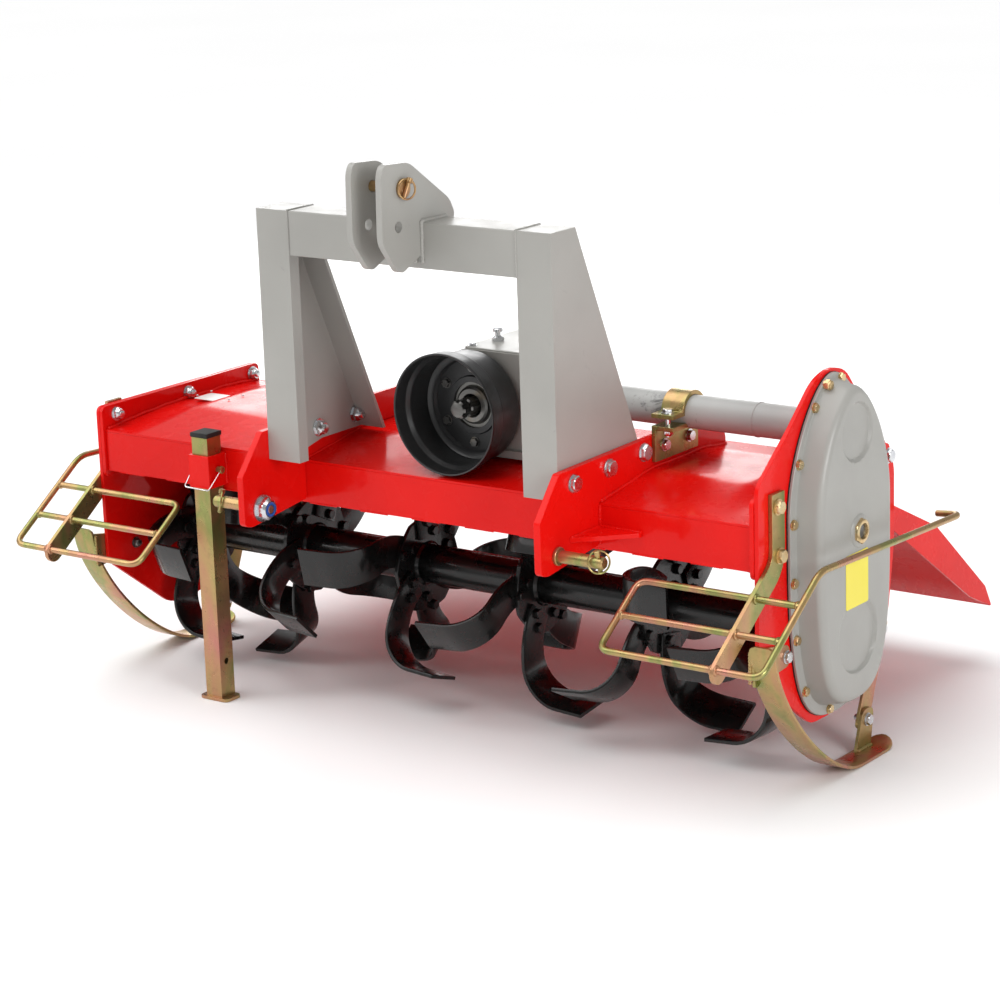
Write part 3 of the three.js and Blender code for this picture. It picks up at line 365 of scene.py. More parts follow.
def roundedRectangle(wide, high, corner, steps=4):
    angle = np.linspace(0, pi / 2, steps)
    quarter = np.stack([np.cos(angle), np.sin(angle)], 1) * corner
    parts = []
    for turn, (signX, signY) in enumerate(((1, 1), (-1, 1), (-1, -1), (1, -1))):
        cosine, sine = round(cos(turn * pi / 2)), round(sin(turn * pi / 2))
        turnedQuarter = quarter @ np.array([[cosine, sine], [-sine, cosine]])
        parts.append(turnedQuarter + [signX * (wide / 2 - corner), signY * (high / 2 - corner)])
    return np.concatenate(parts)


# Thin plate with a soft rim: a rounded rectangle raised from a face. u and v are its side directions.
def softPlate(centre, u, v, wide, high, thick, corner=4.0):
    u, v = np.asarray(u, float), np.asarray(v, float)
    normal = np.cross(u, v)
    outline = roundedRectangle(wide, high, corner, 6)
    lift = [(0.0, 0.0), (thick * 0.6, 0.0), (thick, thick * 0.4)]
    rings = [np.asarray(centre, float) + normal * rise
             + outline[:, :1] * (1 - 2 * inset / wide) * u + outline[:, 1:] * (1 - 2 * inset / high) * v
             for rise, inset in lift]
    return skin(np.array(rings))


sameSpot = 2e-5  # metres; points nearer than this are one
easedSmooth = 38  # degrees; a sharper turn stays an edge


def finishMesh(name, mesh, finish, body, replaced, smooth, edge, merge=False):
    work = bmesh.new()
    work.from_mesh(mesh)
    if merge:
        bmesh.ops.remove_doubles(work, verts=work.verts, dist=sameSpot)
    bmesh.ops.recalc_face_normals(work, faces=work.faces)
    work.to_mesh(mesh)
    work.free()
    mesh.shade_smooth()
    mesh.set_sharp_from_angle(angle=radians(smooth))
    mesh.materials.append(finishes[finish])
    piece = bpy.data.objects.new(name, mesh)
    scene.collection.objects.link(piece)
    if edge > 0:
        soften = piece.modifiers.new("soft_edges", "BEVEL")
        soften.width = edge / 1000
        soften.segments = 2
        soften.limit_method = "ANGLE"
        soften.angle_limit = radians(smooth)
        soften.use_clamp_overlap = True
        soften.harden_normals = True
    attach(piece, body)
    if replaced:
        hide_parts(*replaced)


def makePiece(name, shapes, finish, body="frame", replaced=(), smooth=35, edge=0.0, merge=False):
    vertices, faces, offset = [], [], 0
    for points, quads in shapes:
        vertices.append(points)
        faces.extend([[corner + offset for corner in face] for face in quads])
        offset += len(points)
    vertices = np.concatenate(vertices) / 1000 + hitchMiddle
    mesh = bpy.data.meshes.new(name)
    mesh.from_pydata(vertices.tolist(), [], faces)
    finishMesh(name, mesh, finish, body, replaced, smooth, edge, merge)


# A CAD node's own shape with its doubles merged, flat facets joined and its edges eased.
def easedNode(node, finish, body, edge):
    work = bmesh.new()
    work.from_mesh(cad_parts[node].data)
    bmesh.ops.remove_doubles(work, verts=work.verts, dist=sameSpot)
    bmesh.ops.dissolve_limit(work, angle_limit=radians(0.6), verts=work.verts, edges=work.edges)
    work.verts.ensure_lookup_table()
    work.verts.index_update()
    points = np.array([vertex.co for vertex in work.verts])
    faces = [[vertex.index for vertex in face.verts] for face in work.faces]
    work.free()
    mesh = bpy.data.meshes.new(node + "_eased")
    mesh.from_pydata(points.tolist(), [], faces)
    finishMesh(node + "_eased", mesh, finish, body, (node,), easedSmooth, edge)


# By finish and body: each node and the width of its eased edges. A name that ends in "_" is a left and a
# right node.
easedNodes = (
    ("redPaint", "frame", {
        "front_beam": 1.2, "deck_end_plate_": 1.2, "side_plate_": 1.2, "hitch_plate_": 1.6, "hitch_gusset_": 1.0,
        "stand_socket": 1.2}),
    ("redPaint", "tailgate", {"tailgate": 0.8}),
    ("greyPaint", "frame", {"mast_leg_": 1.8, "mast_crossbar": 2.5, "top_link_ear_": 1.4, "gearbox": 1.6}),
    ("tubePaint", "frame", {"cross_tube": 0.8}),
    ("yellowZinc", "frame", {"skid_strap_": 0.9, "tube_clamp_bracket": 1.0, "tube_clamp_cap": 1.0}),
    ("yellowZinc", "stand", {"stand_leg": 1.6}),
    ("rubber", "stand", {"stand_cap": 1.6}),
    ("blackPaint", "rotor", {"rotor_tube": 1.0}),
    ("blackPaint", "frame", {"rotor_bearing": 1.2}),
    ("rubber", "frame", {"drive_gasket": 0.0}),
    ("silverZinc", "frame", {"tailgate_hinge_rod": 0.6}),
)
for finish, body, edges in easedNodes:
    for name, edge in edges.items():
        for node in (name + "left", name + "right") if name.endswith("_") else (name,):
            easedNode(node, finish, body, edge)
print("stage: plates and frame eased")


# Profiles of (along, radius, sixSided), from the face outwards.
def hexBolt(size):
    washer, corner, base, height = size * 1.18, size * 1.02, size * 0.16, size * 0.62
    return [(0.0, washer), (base, washer), (base, corner, 1.0), (base + height * 0.86, corner, 1.0),
            (base + height, corner * 0.84)]


def lockNut(size):
    washer, corner, base, bore = size * 1.2, size * 1.02, size * 0.16, size * 0.54
    return [(0.0, washer), (base, washer), (base, corner, 1.0), (base + size * 0.6, corner, 1.0),
            (base + size * 0.72, corner * 0.84), (base + size * 0.98, corner * 0.72), (base + size * 0.98, bore),
            (base + size * 1.2, bore), (base + size * 1.28, size * 0.42)]


def fastenings(profile, places, axis):
    return [turned(profile, place, axis, 24, spin=turn)
            for place, turn in zip(places, randomDraws.uniform(0, 1.0, len(places)))]


# Fastenings along x, from groups of (profile, x, places, way).
def sideFastenings(groups):
    return [shape for profile, x, places, way in groups
            for shape in fastenings(profile, [(x, y, z) for y, z in places], (way, 0, 0))]


leftOuter, leftInner = (corner[0] for corner in nodeBox("side_plate_left"))
rightInner, rightOuter = (corner[0] for corner in nodeBox("side_plate_right"))
endLeftFace = nodeBox("deck_end_plate_left")[1][0]
endRightFace = nodeBox("deck_end_plate_right")[0][0]
hitchOuter = nodeBox("hitch_plate_right")[1][0]
hitchThick = 14
legOuter = nodeBox("mast_leg_right")[1][0]
legThick = 8
axisY, rotorZ = (sum(nodeBox("rotor_tube")) / 2)[1:]
shaftZ = (sum(nodeBox("cross_tube")) / 2)[2]

plateGap = 0.3  # between plates that are bolted together
hoodBolts = {"y": (134, 341, 536), "z": 512, "size": 12}
hitchBolts = {"places": ((25, 538), (132, 541), (240, 545)), "size": 14}
guardBolts = {"places": ((147, 510), (152, 425)), "face": 8.3, "size": 12}
skidBolts = {"places": ((173, 243), (499, 206)), "face": 6.3, "strapPlace": ((437, 56),), "strapFace": 12.6,
             "size": 10, "nutSize": 9}
hoodPlaces = [(y, hoodBolts["z"]) for y in hoodBolts["y"]]
bolt, nut = hexBolt(hoodBolts["size"]), lockNut(hoodBolts["size"])
groups = [(nut, endLeftFace, hoodPlaces, 1), (nut, endRightFace, hoodPlaces, -1),
          (bolt, leftOuter, hoodPlaces[1:], -1), (bolt, rightOuter, hoodPlaces[2:], 1)]
bolt, nut = hexBolt(hitchBolts["size"]), lockNut(hitchBolts["size"])
for side in (-1, 1):
    groups.append((nut, side * (legOuter - legThick), hitchBolts["places"], -side))
    groups.append((bolt, side * hitchOuter, hitchBolts["places"], side))
shapes = sideFastenings(groups)
bolt = hexBolt(guardBolts["size"])
armBolts = sideFastenings([(bolt, face + side * guardBolts["face"], guardBolts["places"], side)
                           for side, face in ((1, rightOuter), (-1, leftOuter))])
bolt, nut = hexBolt(skidBolts["size"]), lockNut(skidBolts["nutSize"])
for side, face in ((1, rightOuter), (-1, leftOuter)):
    shapes += sideFastenings([(bolt, face + side * skidBolts["face"], skidBolts["places"], side),
                              (bolt, face + side * skidBolts["strapFace"], skidBolts["strapPlace"], side),
                              (nut, face + side * plateGap, skidBolts["strapPlace"], -side)])
makePiece("bright_bolts_and_nuts", shapes, "silverZinc")
makePiece("guard_bolts", armBolts, "brassZinc")
makePiece("side_plate_inner_nuts", sideFastenings([
    (nut, leftInner, skidBolts["places"], 1), (nut, rightInner, skidBolts["places"], -1)]), "darkSteel")

clamp = {"thick": 8, "boltInset": 16, "boltShift": 2, "boltSize": 10, "nutSize": 9, "boltRadius": 5.5,
         "sideBoltZ": 548, "sideBoltSpread": 40}
clampLow, clampHigh = nodeBox("tube_clamp_cap")
clampX = (clampLow[0] + clampHigh[0]) / 2 + clamp["boltShift"]
clampShelf = nodeBox("tube_clamp_bracket")[1][2]
clampPlaces = [(clampX, clampLow[1] + clamp["boltInset"]), (clampX, clampHigh[1] - clamp["boltInset"])]
bolt, nut = hexBolt(clamp["boltSize"]), lockNut(clamp["nutSize"])
shapes = fastenings(bolt, [(x, y, clampLow[2] + clamp["thick"]) for x, y in clampPlaces], (0, 0, 1))
shapes += fastenings(nut, [(x, y, clampShelf - clamp["thick"]) for x, y in clampPlaces], (0, 0, -1))
shank = [(0, clamp["boltRadius"]), (clampLow[2] + 1 - clampShelf + 1, clamp["boltRadius"])]
shapes += [turned(shank, (x, y, clampShelf - 1), (0, 0, 1), 16) for x, y in clampPlaces]
spread = clamp["sideBoltSpread"]
shapes += fastenings(bolt, [(clampLow[0] + clamp["thick"], y, clamp["sideBoltZ"])
                            for y in (axisY - spread, axisY + spread)], (1, 0, 0))
makePiece("clamp_bolts", shapes, "silverZinc")


deck = {"frontY": 101, "rearY": 552, "frontZ": 486, "rearZ": 497, "flatZ": 511, "flatFrom": 261, "flatTo": 436,
        "thick": 4, "endCrown": 0.45, "fadeFrom": 46, "fadeOver": 60, "flangeFoot": 416}
deckLow, deckHigh = nodeBox("deck_cover")


# Height of the hood's top: a straight slope, plus the flat raised middle with its corners softened.
def deckTop(y, x):
    corner = 9.0
    fromEnd = np.minimum(x - deckLow[0], deckHigh[0] - x)
    fade = np.clip((fromEnd - deck["fadeFrom"]) / deck["fadeOver"], 0, 1)
    crown = deck["endCrown"] + (1 - deck["endCrown"]) * fade * fade * (3 - 2 * fade)
    base = np.interp(y, (deck["frontY"], deck["rearY"]), (deck["frontZ"], deck["rearZ"]))
    bends = (deck["frontY"], deck["flatFrom"] - corner, deck["flatFrom"] + corner, deck["flatTo"] - corner,
             deck["flatTo"] + corner, deck["rearY"])
    flat = deck["flatZ"]
    shape = np.interp(y, bends, (deck["frontZ"], flat - 1.4, flat, flat, flat - 1.0, deck["rearZ"]))
    return base + crown * (shape - base)


def deckSheet():
    x = np.concatenate([[deckLow[0]], np.linspace(deckLow[0] + 20, deckLow[0] + 130, 16),
                        np.linspace(deckHigh[0] - 130, deckHigh[0] - 20, 16), [deckHigh[0]]])
    front, rear = deck["frontY"], deck["rearY"]
    y = np.concatenate([[front], np.linspace(front + 3, rear - 3, 40), [rear]])
    gridX, gridY = np.meshgrid(x, y, indexing="ij")
    top = deckTop(gridY, gridX)
    upper = np.stack([gridX, gridY, top], -1)
    lower = np.stack([gridX, gridY, top - deck["thick"]], -1)
    upper[:, -1, 2] -= 1.0
    foot = deck["flangeFoot"]
    down = np.stack([x, np.full_like(x, deck["rearY"]), np.full_like(x, foot)], -1)[:, None]
    innerDown = down - [0, deck["thick"], 0]
    innerTurn = lower[:, -1:].copy()
    innerTurn[..., 1] -= deck["thick"]
    return skin(np.concatenate([upper, down, innerDown, innerTurn, lower[:, ::-1][:, 1:]], 1))


hinge = {"y": 567, "z": 420, "radius": 11, "bore": 6.4, "length": 60, "inset": 125}
shapes = [deckSheet()]
knuckle = ringProfile(hinge["length"] / 2, hinge["bore"], hinge["radius"])
for x in np.linspace(deckLow[0] + hinge["inset"], deckHigh[0] - hinge["inset"], 3):
    shapes.append(turned(knuckle, (x, hinge["y"], hinge["z"]), (1, 0, 0), 28, loop=True))
    shapes.append(flatBar([(x, deck["rearY"] - 1, hinge["z"] + 1.5), (x, hinge["y"] - 8, hinge["z"] + 1.5)],
                          (1, 0, 0), 5, hinge["length"] - 2))
makePiece("deck_sheet", shapes, "redPaint", replaced=("deck_cover",), smooth=40)

plate = {"x": -736, "y": 346, "wide": 92, "high": 52, "thick": 1.2, "rivetInset": 5, "rivetZ": 512.2}
plateFoot = (plate["x"], plate["y"], deckTop(plate["y"], plate["x"]) + 0.05)
makePiece("blank_deck_plate", [softPlate(plateFoot, (1, 0, 0), (0, 1, 0), plate["wide"], plate["high"],
                                         plate["thick"], 3)], "blankPlate")
reachX, reachY = plate["wide"] / 2 - plate["rivetInset"], plate["high"] / 2 - plate["rivetInset"]
rivet = [(0, 2.6), (1.2, 2.4), (1.8, 1.4)]
makePiece("deck_plate_rivets", [
    turned(rivet, (plate["x"] + x, plate["y"] + y, plate["rivetZ"]), (0, 0, 1), 12)
    for x in (-reachX, reachX) for y in (-reachY, reachY)], "silverZinc")
print("stage: hood sheet made")


def deckPath(x, start, end, lift=1.5):
    y = np.linspace(start, end, 60)
    return np.stack([np.full_like(y, x), y, deckTop(y, np.full_like(y, x)) + lift], 1)


beamBottom = nodeBox("front_beam")[0][2]
gussetLow, gussetHigh = nodeBox("hitch_gusset_right")
socketLow, socketHigh = nodeBox("stand_socket")
beads = [(deckPath(x, 106, 548), 3.8, 7, 1.4) for x in (deckLow[0] + 2, deckHigh[0] - 2)]
for side in (-1, 1):
    outer, inner = side * (hitchOuter + 1.0), side * (hitchOuter - hitchThick - 0.8)
    near, far = sorted((side * gussetLow[0], side * gussetHigh[0]), key=abs)
    top = gussetHigh[2]
    beads += [(deckPath(outer, 104, 508), 3.4, 6, 0.8),
              ([(outer, 100, beamBottom + 8), (outer, 100, 484)], 3.2, 6, 0.5),
              ([(near, 99.5, top), (far, 99.5, top)], 3.0, 5.5, 0.5),
              ([(near + side, 12, top), (near + side, 97, top)], 3.0, 5.5, 0.5),
              ([(inner, 104, deckTop(104, 0) + 1), (inner, 260, 512)], 2.6, 6, 0.6)]
low, high = socketLow[2] + 2, socketHigh[2] - 2
beads += [([(x, 99.8, low), (x, 99.8, high)], 3.2, 5.5, 0.4) for x in (socketLow[0], socketHigh[0])]
stitch, pitch, z = 64, 118, beamBottom + 0.5
beads += [([(x, 102.5, z), (x + stitch, 102.5, z)], 2.4, 5, 0.4)
          for x in np.arange(deckLow[0] + 30, deckHigh[0] - 80, pitch)]
makePiece("hood_weld_beads", [weldBead(*bead) for bead in beads], "redPaint", smooth=60)

barLow, barHigh = nodeBox("mast_crossbar")
beads = [([(x, 0.4, barLow[2]), (x, 0.4, barHigh[2]), (x, barHigh[1], barHigh[2] - 0.4)], 2.2, 5.5, 0.3)
         for x in (-(barHigh[0] + 0.2), barHigh[0] + 0.2)]
foot, top = barLow[2] + 10, barHigh[2] + 1.5
for name in ("top_link_ear_left", "top_link_ear_right"):
    low, high = nodeBox(name)
    beads += [([(x, -1.5, foot), (x, -1.5, top), (x, barHigh[1], top)], 3.8, 6, 0.6)
              for x in (low[0] - 1.2, high[0] + 1.2)]
makePiece("mast_weld_beads", [weldBead(*bead) for bead in beads], "greyPaint", smooth=60)
print("stage: weld beads made")


case = {"halfWidth": 148, "top": 98, "bottom": 143, "shoulder": 475, "waist": 390, "flangeFullness": 0.39,
        "coverFullness": 0.42, "foot": 19, "topFoot": 12, "flange": 5, "depth": 50, "rounding": 15,
        "draft": 6, "dishRadius": 50, "dishDepth": 6}


# Egg-shaped outline: straight flanks, Bezier curves over the top and round the bottom.
def caseOutline(inset, topInset, fullness, detail=1):
    half = case["halfWidth"] - inset
    top = shaftZ + case["top"] - topInset
    bottom = rotorZ - case["bottom"] + inset
    shoulder, waist = case["shoulder"], case["waist"]
    rise = shoulder + 0.45 * (top - shoulder)
    fall = waist - 0.9 * (waist - bottom)
    flank = [(half, (waist * (3 - k) + shoulder * k) / 3) for k in range(4)]
    crown = [(half, shoulder), (half, rise), (fullness * half, top), (0, top)]
    foot = [(0, bottom), (0.57 * half, bottom), (half, fall), (half, waist)]
    mirrored = [[(-y, z) for y, z in curve[::-1]] for curve in (crown, flank, foot)]
    curves = (flank, crown, *mirrored, foot)
    parts = []
    for curve, steps in zip(curves, (6, 26, 26, 6, 26, 26)):
        t = (np.arange(steps * detail) / (steps * detail))[:, None]
        a, b, c, d = np.array(curve, float)
        parts.append((1 - t) ** 3 * a + 3 * t * (1 - t) ** 2 * b + 3 * t * t * (1 - t) * c + t ** 3 * d)
    return np.concatenate(parts) + [axisY, 0]


backX = nodeBox("drive_cover")[0][0]
faceX = backX + case["depth"]


def caseRing(x, inset, topInset, fullness):
    outline = caseOutline(inset, topInset, fullness, 3)
    return np.concatenate([np.full((len(outline), 1), x), outline], 1)


def driveCover():
    flange, full = case["flangeFullness"], case["coverFullness"]
    foot, topFoot = case["foot"], case["topFoot"]
    rings = [caseRing(backX, 0, 0, flange), caseRing(backX + case["flange"] - 1.2, 0, 0, flange),
             caseRing(backX + case["flange"], 1.2, 1.2, flange),
             caseRing(backX + case["flange"], foot - 5, topFoot - 4, (flange + full) / 2),
             caseRing(backX + case["flange"] + 1.5, foot - 1.6, topFoot - 1.2, full),
             caseRing(backX + case["flange"] + 5, foot, topFoot, full)]
    wallTop = case["depth"] - case["rounding"]
    rings.append(caseRing(backX + wallTop, foot + case["draft"], topFoot + case["draft"], full))
    for angle in np.radians((15, 30, 45, 60, 75, 90)):
        inset = case["draft"] + case["rounding"] * (1 - cos(angle))
        x = backX + wallTop + case["rounding"] * sin(angle)
        rings.append(caseRing(x, foot + inset, topFoot + inset, full))
    edge = rings[-1]
    spine = np.stack([edge[:, 0], np.full(len(edge), axisY), np.clip(edge[:, 2], rotorZ + 20, shaftZ - 20)], 1)
    for scale in np.linspace(1, 0, 56)[1:]:
        ring = spine + (edge - spine) * scale
        for centreZ, radius in ((shaftZ, case["dishRadius"]), (rotorZ, case["dishRadius"] + 14)):
            distance = np.hypot(ring[:, 1] - axisY, ring[:, 2] - centreZ)
            inside = np.clip((radius - distance) / 5 + 0.5, 0, 1)
            ring[:, 0] -= case["dishDepth"] * inside * inside * (3 - 2 * inside)
        rings.append(ring)
    return skin(np.array(rings))


plugPlace = (faceX, axisY + 5, (shaftZ + rotorZ) / 2 + 6)
boss = [(-6, 33), (-2, 31), (2.2, 28), (3.2, 26), (3.2, 19)]
plug = [(-3, 23, 1), (6.6, 23, 1), (8, 20.6), (8.8, 19), (8.8, 14), (4.4, 13)]
glass = [(0, 13.2), (4.6, 13.2), (5.2, 9), (5.4, 3)]
makePiece("drive_cover_shell", [driveCover(), turned(boss, plugPlace, (1, 0, 0), 48)], "coverPaint",
          replaced=("drive_cover",), smooth=32, merge=True)
makePiece("oil_level_plug", [turned(plug, plugPlace, (1, 0, 0), 36)], "brassZinc")
makePiece("oil_level_glass", [turned(glass, plugPlace, (1, 0, 0), 32)], "darkSteel")
label = softPlate((faceX + 0.05, axisY - 4, 346), (0, 1, 0), (0, 0, 1), 76, 96, 0.7, 4)
makePiece("case_label", [label], "blankLabel")

# Bolts at equal steps along the flange's outline.
caseBolts = {"inset": 9.5, "topInset": 7.5, "count": 14, "start": 0.3, "size": 8}
boltRing = caseOutline(caseBolts["inset"], caseBolts["topInset"], case["flangeFullness"])
boltGaps = norm(np.diff(boltRing, axis=0, append=boltRing[:1]), axis=1)
boltAlong = np.concatenate([[0], np.cumsum(boltGaps)[:-1]])
boltWanted = (np.arange(caseBolts["count"]) + caseBolts["start"]) / caseBolts["count"] * boltGaps.sum()
boltY, boltZ = (np.interp(boltWanted, boltAlong, boltRing[:, k]) for k in (0, 1))
flangeFace = backX + case["flange"]
boltPlaces = [(flangeFace, y, z) for y, z in zip(boltY, boltZ)]
makePiece("case_flange_bolts", fastenings(hexBolt(caseBolts["size"]), boltPlaces, (1, 0, 0)), "brassZinc")
breather = [(0, 8), (3, 8), (3, 9.5, 1), (10, 9.5, 1), (11, 7.5), (13, 7.5), (14, 5)]
makePiece("case_breather", [turned(breather, (flangeFace, axisY - 30, shaftZ + 83), (1, 0, 0), 24)], "brassZinc")
print("stage: drive case made")


shieldLow, shieldHigh = nodeBox("pto_shield")
shield = {"rim": 109, "step": 8, "stepY": 134, "wall": 3, "bore": 42}


# Moulded shield: a stepped bell round the shaft, bolted through its inner floor.
def shieldShape():
    front, back = shieldLow[1], shieldHigh[1]
    rim, wall = shield["rim"], shield["wall"]
    narrow = rim - shield["step"]
    stepY = shield["stepY"]
    profile = [
        (back - wall - 4, shield["bore"]), (back - wall - 4, 52), (back - wall, 54), (back - wall, 82),
        (back - wall - 5, 86), (back - wall - 5, narrow - wall - 6), (back - wall - 9, narrow - wall - 1),
        (stepY + 8, narrow - wall), (stepY + 4, narrow - wall + 1), (stepY, rim - wall - 1),
        (stepY - 3, rim - wall),
        (front + 4, rim - wall), (front + 1, rim - wall + 0.6), (front, rim - wall + 1.6), (front, rim),
        (front + 1, rim + 1), (front + 5, rim + 1), (front + 6.5, rim), (stepY, rim), (stepY + 3, rim - 0.6),
        (stepY + 7, narrow + 0.6), (stepY + 10, narrow), (back - 8, narrow), (back - 2, narrow - 2),
        (back, narrow - 6), (back, shield["bore"]),
    ]
    return turned([(y, radius) for y, radius in profile], (0, 0, shaftZ), (0, 1, 0), 96, loop=True)


makePiece("input_shield", [shieldShape()], "blackPlastic", replaced=("pto_shield",), smooth=50)
shaftLow, shaftHigh = nodeBox("pto_shaft")


# Splined shaft: six teeth round it, with a groove near the front and a chamfered end.
def splinedShaft():
    front = shaftLow[1]
    angle = np.arange(96) * 2 * pi / 96
    tooth = np.clip(np.cos(6 * angle) * 3.2 + 0.5, 0, 1)
    stations = [(front, 12.5, 0.0), (front + 0.4, 13.5, 0.0), (front + 3, 14.6, 0.9), (front + 14, 14.6, 1.0),
                (front + 16, 14.4, 0.0), (front + 23, 14.4, 0.0), (front + 25, 14.6, 1.0),
                (front + 52, 14.6, 1.0), (front + 56, 17.4, 0.0), (shaftHigh[1], 17.4, 0.0)]
    rings = []
    for y, radius, depth in stations:
        r = radius + depth * 2.9 * tooth
        rings.append(np.stack([r * np.cos(angle), np.full_like(angle, y), shaftZ + r * np.sin(angle)], 1))
    return skin(np.array(rings))


makePiece("splined_input_shaft", [splinedShaft()], "darkSteel", "input_shaft", ("pto_shaft",), smooth=30)


# Places on a circle round the shaft at height z, in a plane square to x.
def circlePlaces(x, z, radius, angles):
    return [(x, axisY + radius * cos(a), z + radius * sin(a)) for a in np.radians(angles)]


sixAngles = (30, 90, 150, 210, 270, 330)
shieldCircle, gearboxCircle = 68, 52
floorY = shieldHigh[1] - shield["wall"]
boltPlaces = [(shieldCircle * cos(a), floorY, shaftZ + shieldCircle * sin(a))
              for a in np.radians(sixAngles)]
makePiece("shield_bolts", fastenings(hexBolt(8), boltPlaces, (0, -1, 0)), "darkSteel")
boxLow, boxHigh = nodeBox("gearbox")
seal = [(0, 20), (-9, 20), (-11, 22), (-11, 30), (-8, 34), (0, 36)]
makePiece("input_seal_ring", [turned(seal, (0, boxLow[1], shaftZ), (0, 1, 0), 48)], "darkSteel")
shapes = []
for x, side in ((boxLow[0] + 12, -1), (boxHigh[0] - 12, 1)):
    shapes += fastenings(hexBolt(8), circlePlaces(x, shaftZ, gearboxCircle, sixAngles), (side, 0, 0))
for size, z, placesX, placesY in ((9, boxLow[2] + 14, (-101, 132), (228, 382)),
                                  (7, boxHigh[2] + 3.5, (-20, 104), (226, 384))):
    shapes += fastenings(hexBolt(size), [(x, y, z) for x in placesX for y in placesY], (0, 0, 1))
makePiece("gearbox_bolts", shapes, "silverZinc")
lid = softPlate((42, 305, boxHigh[2] - 0.2), (1, 0, 0), (0, 1, 0), 148, 182, 3.7, 8)
makePiece("gearbox_lid", [lid], "greyPaint")
breather = [(0, 9), (2, 9), (2, 11, 1), (10, 11, 1), (11, 8), (14, 5), (20, 5), (21, 9), (26, 9), (28, 6)]
makePiece("gearbox_breather", [turned(breather, (-4, 281, boxHigh[2] - 0.5), (0, 0, 1), 24)], "silverZinc")
seam = [(0, 29), (0, 30.2), (0.8, 31), (3, 31), (3.8, 30.2), (3.8, 29)]
makePiece("cross_tube_rings", [turned(seam, (508, axisY, shaftZ), (1, 0, 0), 64, loop=True)], "tubePaint")
print("stage: gearbox and shield fitted")


rotor = {"bore": 37.4, "hubRadius": 43, "hubReach": 5, "flangeRadius": 95, "flangeThick": 8,
         "flangeSixSided": 0.35, "rootRadius": 52, "rootStart": 55.5, "reach": 122, "sweepRadius": 130, "sweep": 42,
         "bendRadius": 70, "bend": 86, "rootWidth": 60, "tipWidth": 75, "thick": 7,
         "bolts": ((63, -9), (84, 10)), "blades": 6, "turn": 25, "firstAngle": 40, "sets": 6}


# Blade centre line: straight out along the flange, round a circle of sweepRadius in the flange's plane, then
# round a circle of bendRadius sideways, and straight to the tip.
def bladeLine(hand):
    sweep, bend = radians(rotor["sweep"]), radians(rotor["bend"])
    root = rotor["rootStart"]
    side = hand * (rotor["flangeThick"] / 2 + rotor["thick"] / 2 - 0.3)
    turn = np.linspace(0, sweep, 10)
    first = np.stack([np.full(10, side), root + rotor["sweepRadius"] * np.sin(turn),
                      rotor["sweepRadius"] * (1 - np.cos(turn))], 1)
    firstSides = np.stack([np.zeros(10), -np.sin(turn), np.cos(turn)], 1)
    angle = np.linspace(0, bend, 14)[1:]
    along = rotor["bendRadius"] * np.sin(angle)
    reach = rotor["bendRadius"] * (1 - np.cos(angle))
    rest = (rotor["reach"] - reach[-1]) / sin(bend)
    along = np.append(along, along[-1] + rest * cos(bend))
    reach = np.append(reach, rotor["reach"])
    ahead = np.array([0, cos(sweep), sin(sweep)])
    second = first[-1] + along[:, None] * ahead + reach[:, None] * np.array([hand, 0, 0])
    line = np.concatenate([[[side, rotor["rootRadius"], 0]], first, second])
    tipSide = [0, -sin(sweep), cos(sweep)]
    sides = np.concatenate([[[0, 0, 1]], firstSides, np.repeat([tipSide], len(second), 0)])
    share = np.clip(np.linspace(-0.25, 1.15, len(line)), 0, 1)
    return line, sides, rotor["rootWidth"] + (rotor["tipWidth"] - rotor["rootWidth"]) * share


def turnAboutX(points, angle):
    cosine, sine = cos(angle), sin(angle)
    return points @ np.array([[1, 0, 0], [0, cosine, sine], [0, -sine, cosine]])


tineBolt = [(0, 10.5), (1.6, 10.5), (1.6, 9.6, 1), (7.4, 9.6, 1), (8.4, 8)]
half, bore, hubRadius = rotor["flangeThick"] / 2, rotor["bore"], rotor["hubRadius"]
hubEnd = half + rotor["hubReach"]
flange = ringProfile(half, bore, rotor["flangeRadius"], rotor["flangeSixSided"])
hub = [(-hubEnd, bore), (-hubEnd, bore + 1.2), (-half, hubRadius), (half, hubRadius), (hubEnd, bore + 1.2),
       (hubEnd, bore)]
lastSet = rotor["sets"] - 1
for index in range(rotor["sets"]):
    node = f"tine_set_{index + 1}"
    setLow, setHigh = nodeBox(node)
    # The two end sets have blades on their inner side only, so their flange is at the box's outer end.
    middle = {0: setLow[0] + half, lastSet: setHigh[0] - half}.get(index, (setLow[0] + setHigh[0]) / 2)
    centre = np.array([middle, axisY, rotorZ])
    start = rotor["firstAngle"] + index * rotor["turn"]
    shapes = [turned(flange, centre, (1, 0, 0), 60, loop=True, spin=radians(start)),
              turned(hub, centre, (1, 0, 0), 40, loop=True)]
    for blade in range(rotor["blades"]):
        hand = {0: 1, lastSet: -1}.get(index, 1 - 2 * (blade % 2))
        angle = radians(start + blade * 360 / rotor["blades"])
        line, sides, widths = bladeLine(hand)
        line, sides = turnAboutX(line, angle) + centre, turnAboutX(sides, angle)
        shapes.append(flatBar(line, sides, rotor["thick"], widths, 1.5))
        for radius, sideways in rotor["bolts"]:
            place = turnAboutX(np.array([[0, radius, sideways]]), angle)[0] + centre
            headFace = half + rotor["thick"] - 0.4
            shapes.append(turned(tineBolt, place + [hand * headFace, 0, 0], (hand, 0, 0), 12, spin=angle))
            shapes.append(turned(tineBolt, place - [hand * half, 0, 0], (-hand, 0, 0), 12, spin=angle + 0.4))
    makePiece(f"blade_ring_{index + 1}", shapes, "blackPaint", "rotor", (node,), smooth=36)
print("stage: rotor blades made")


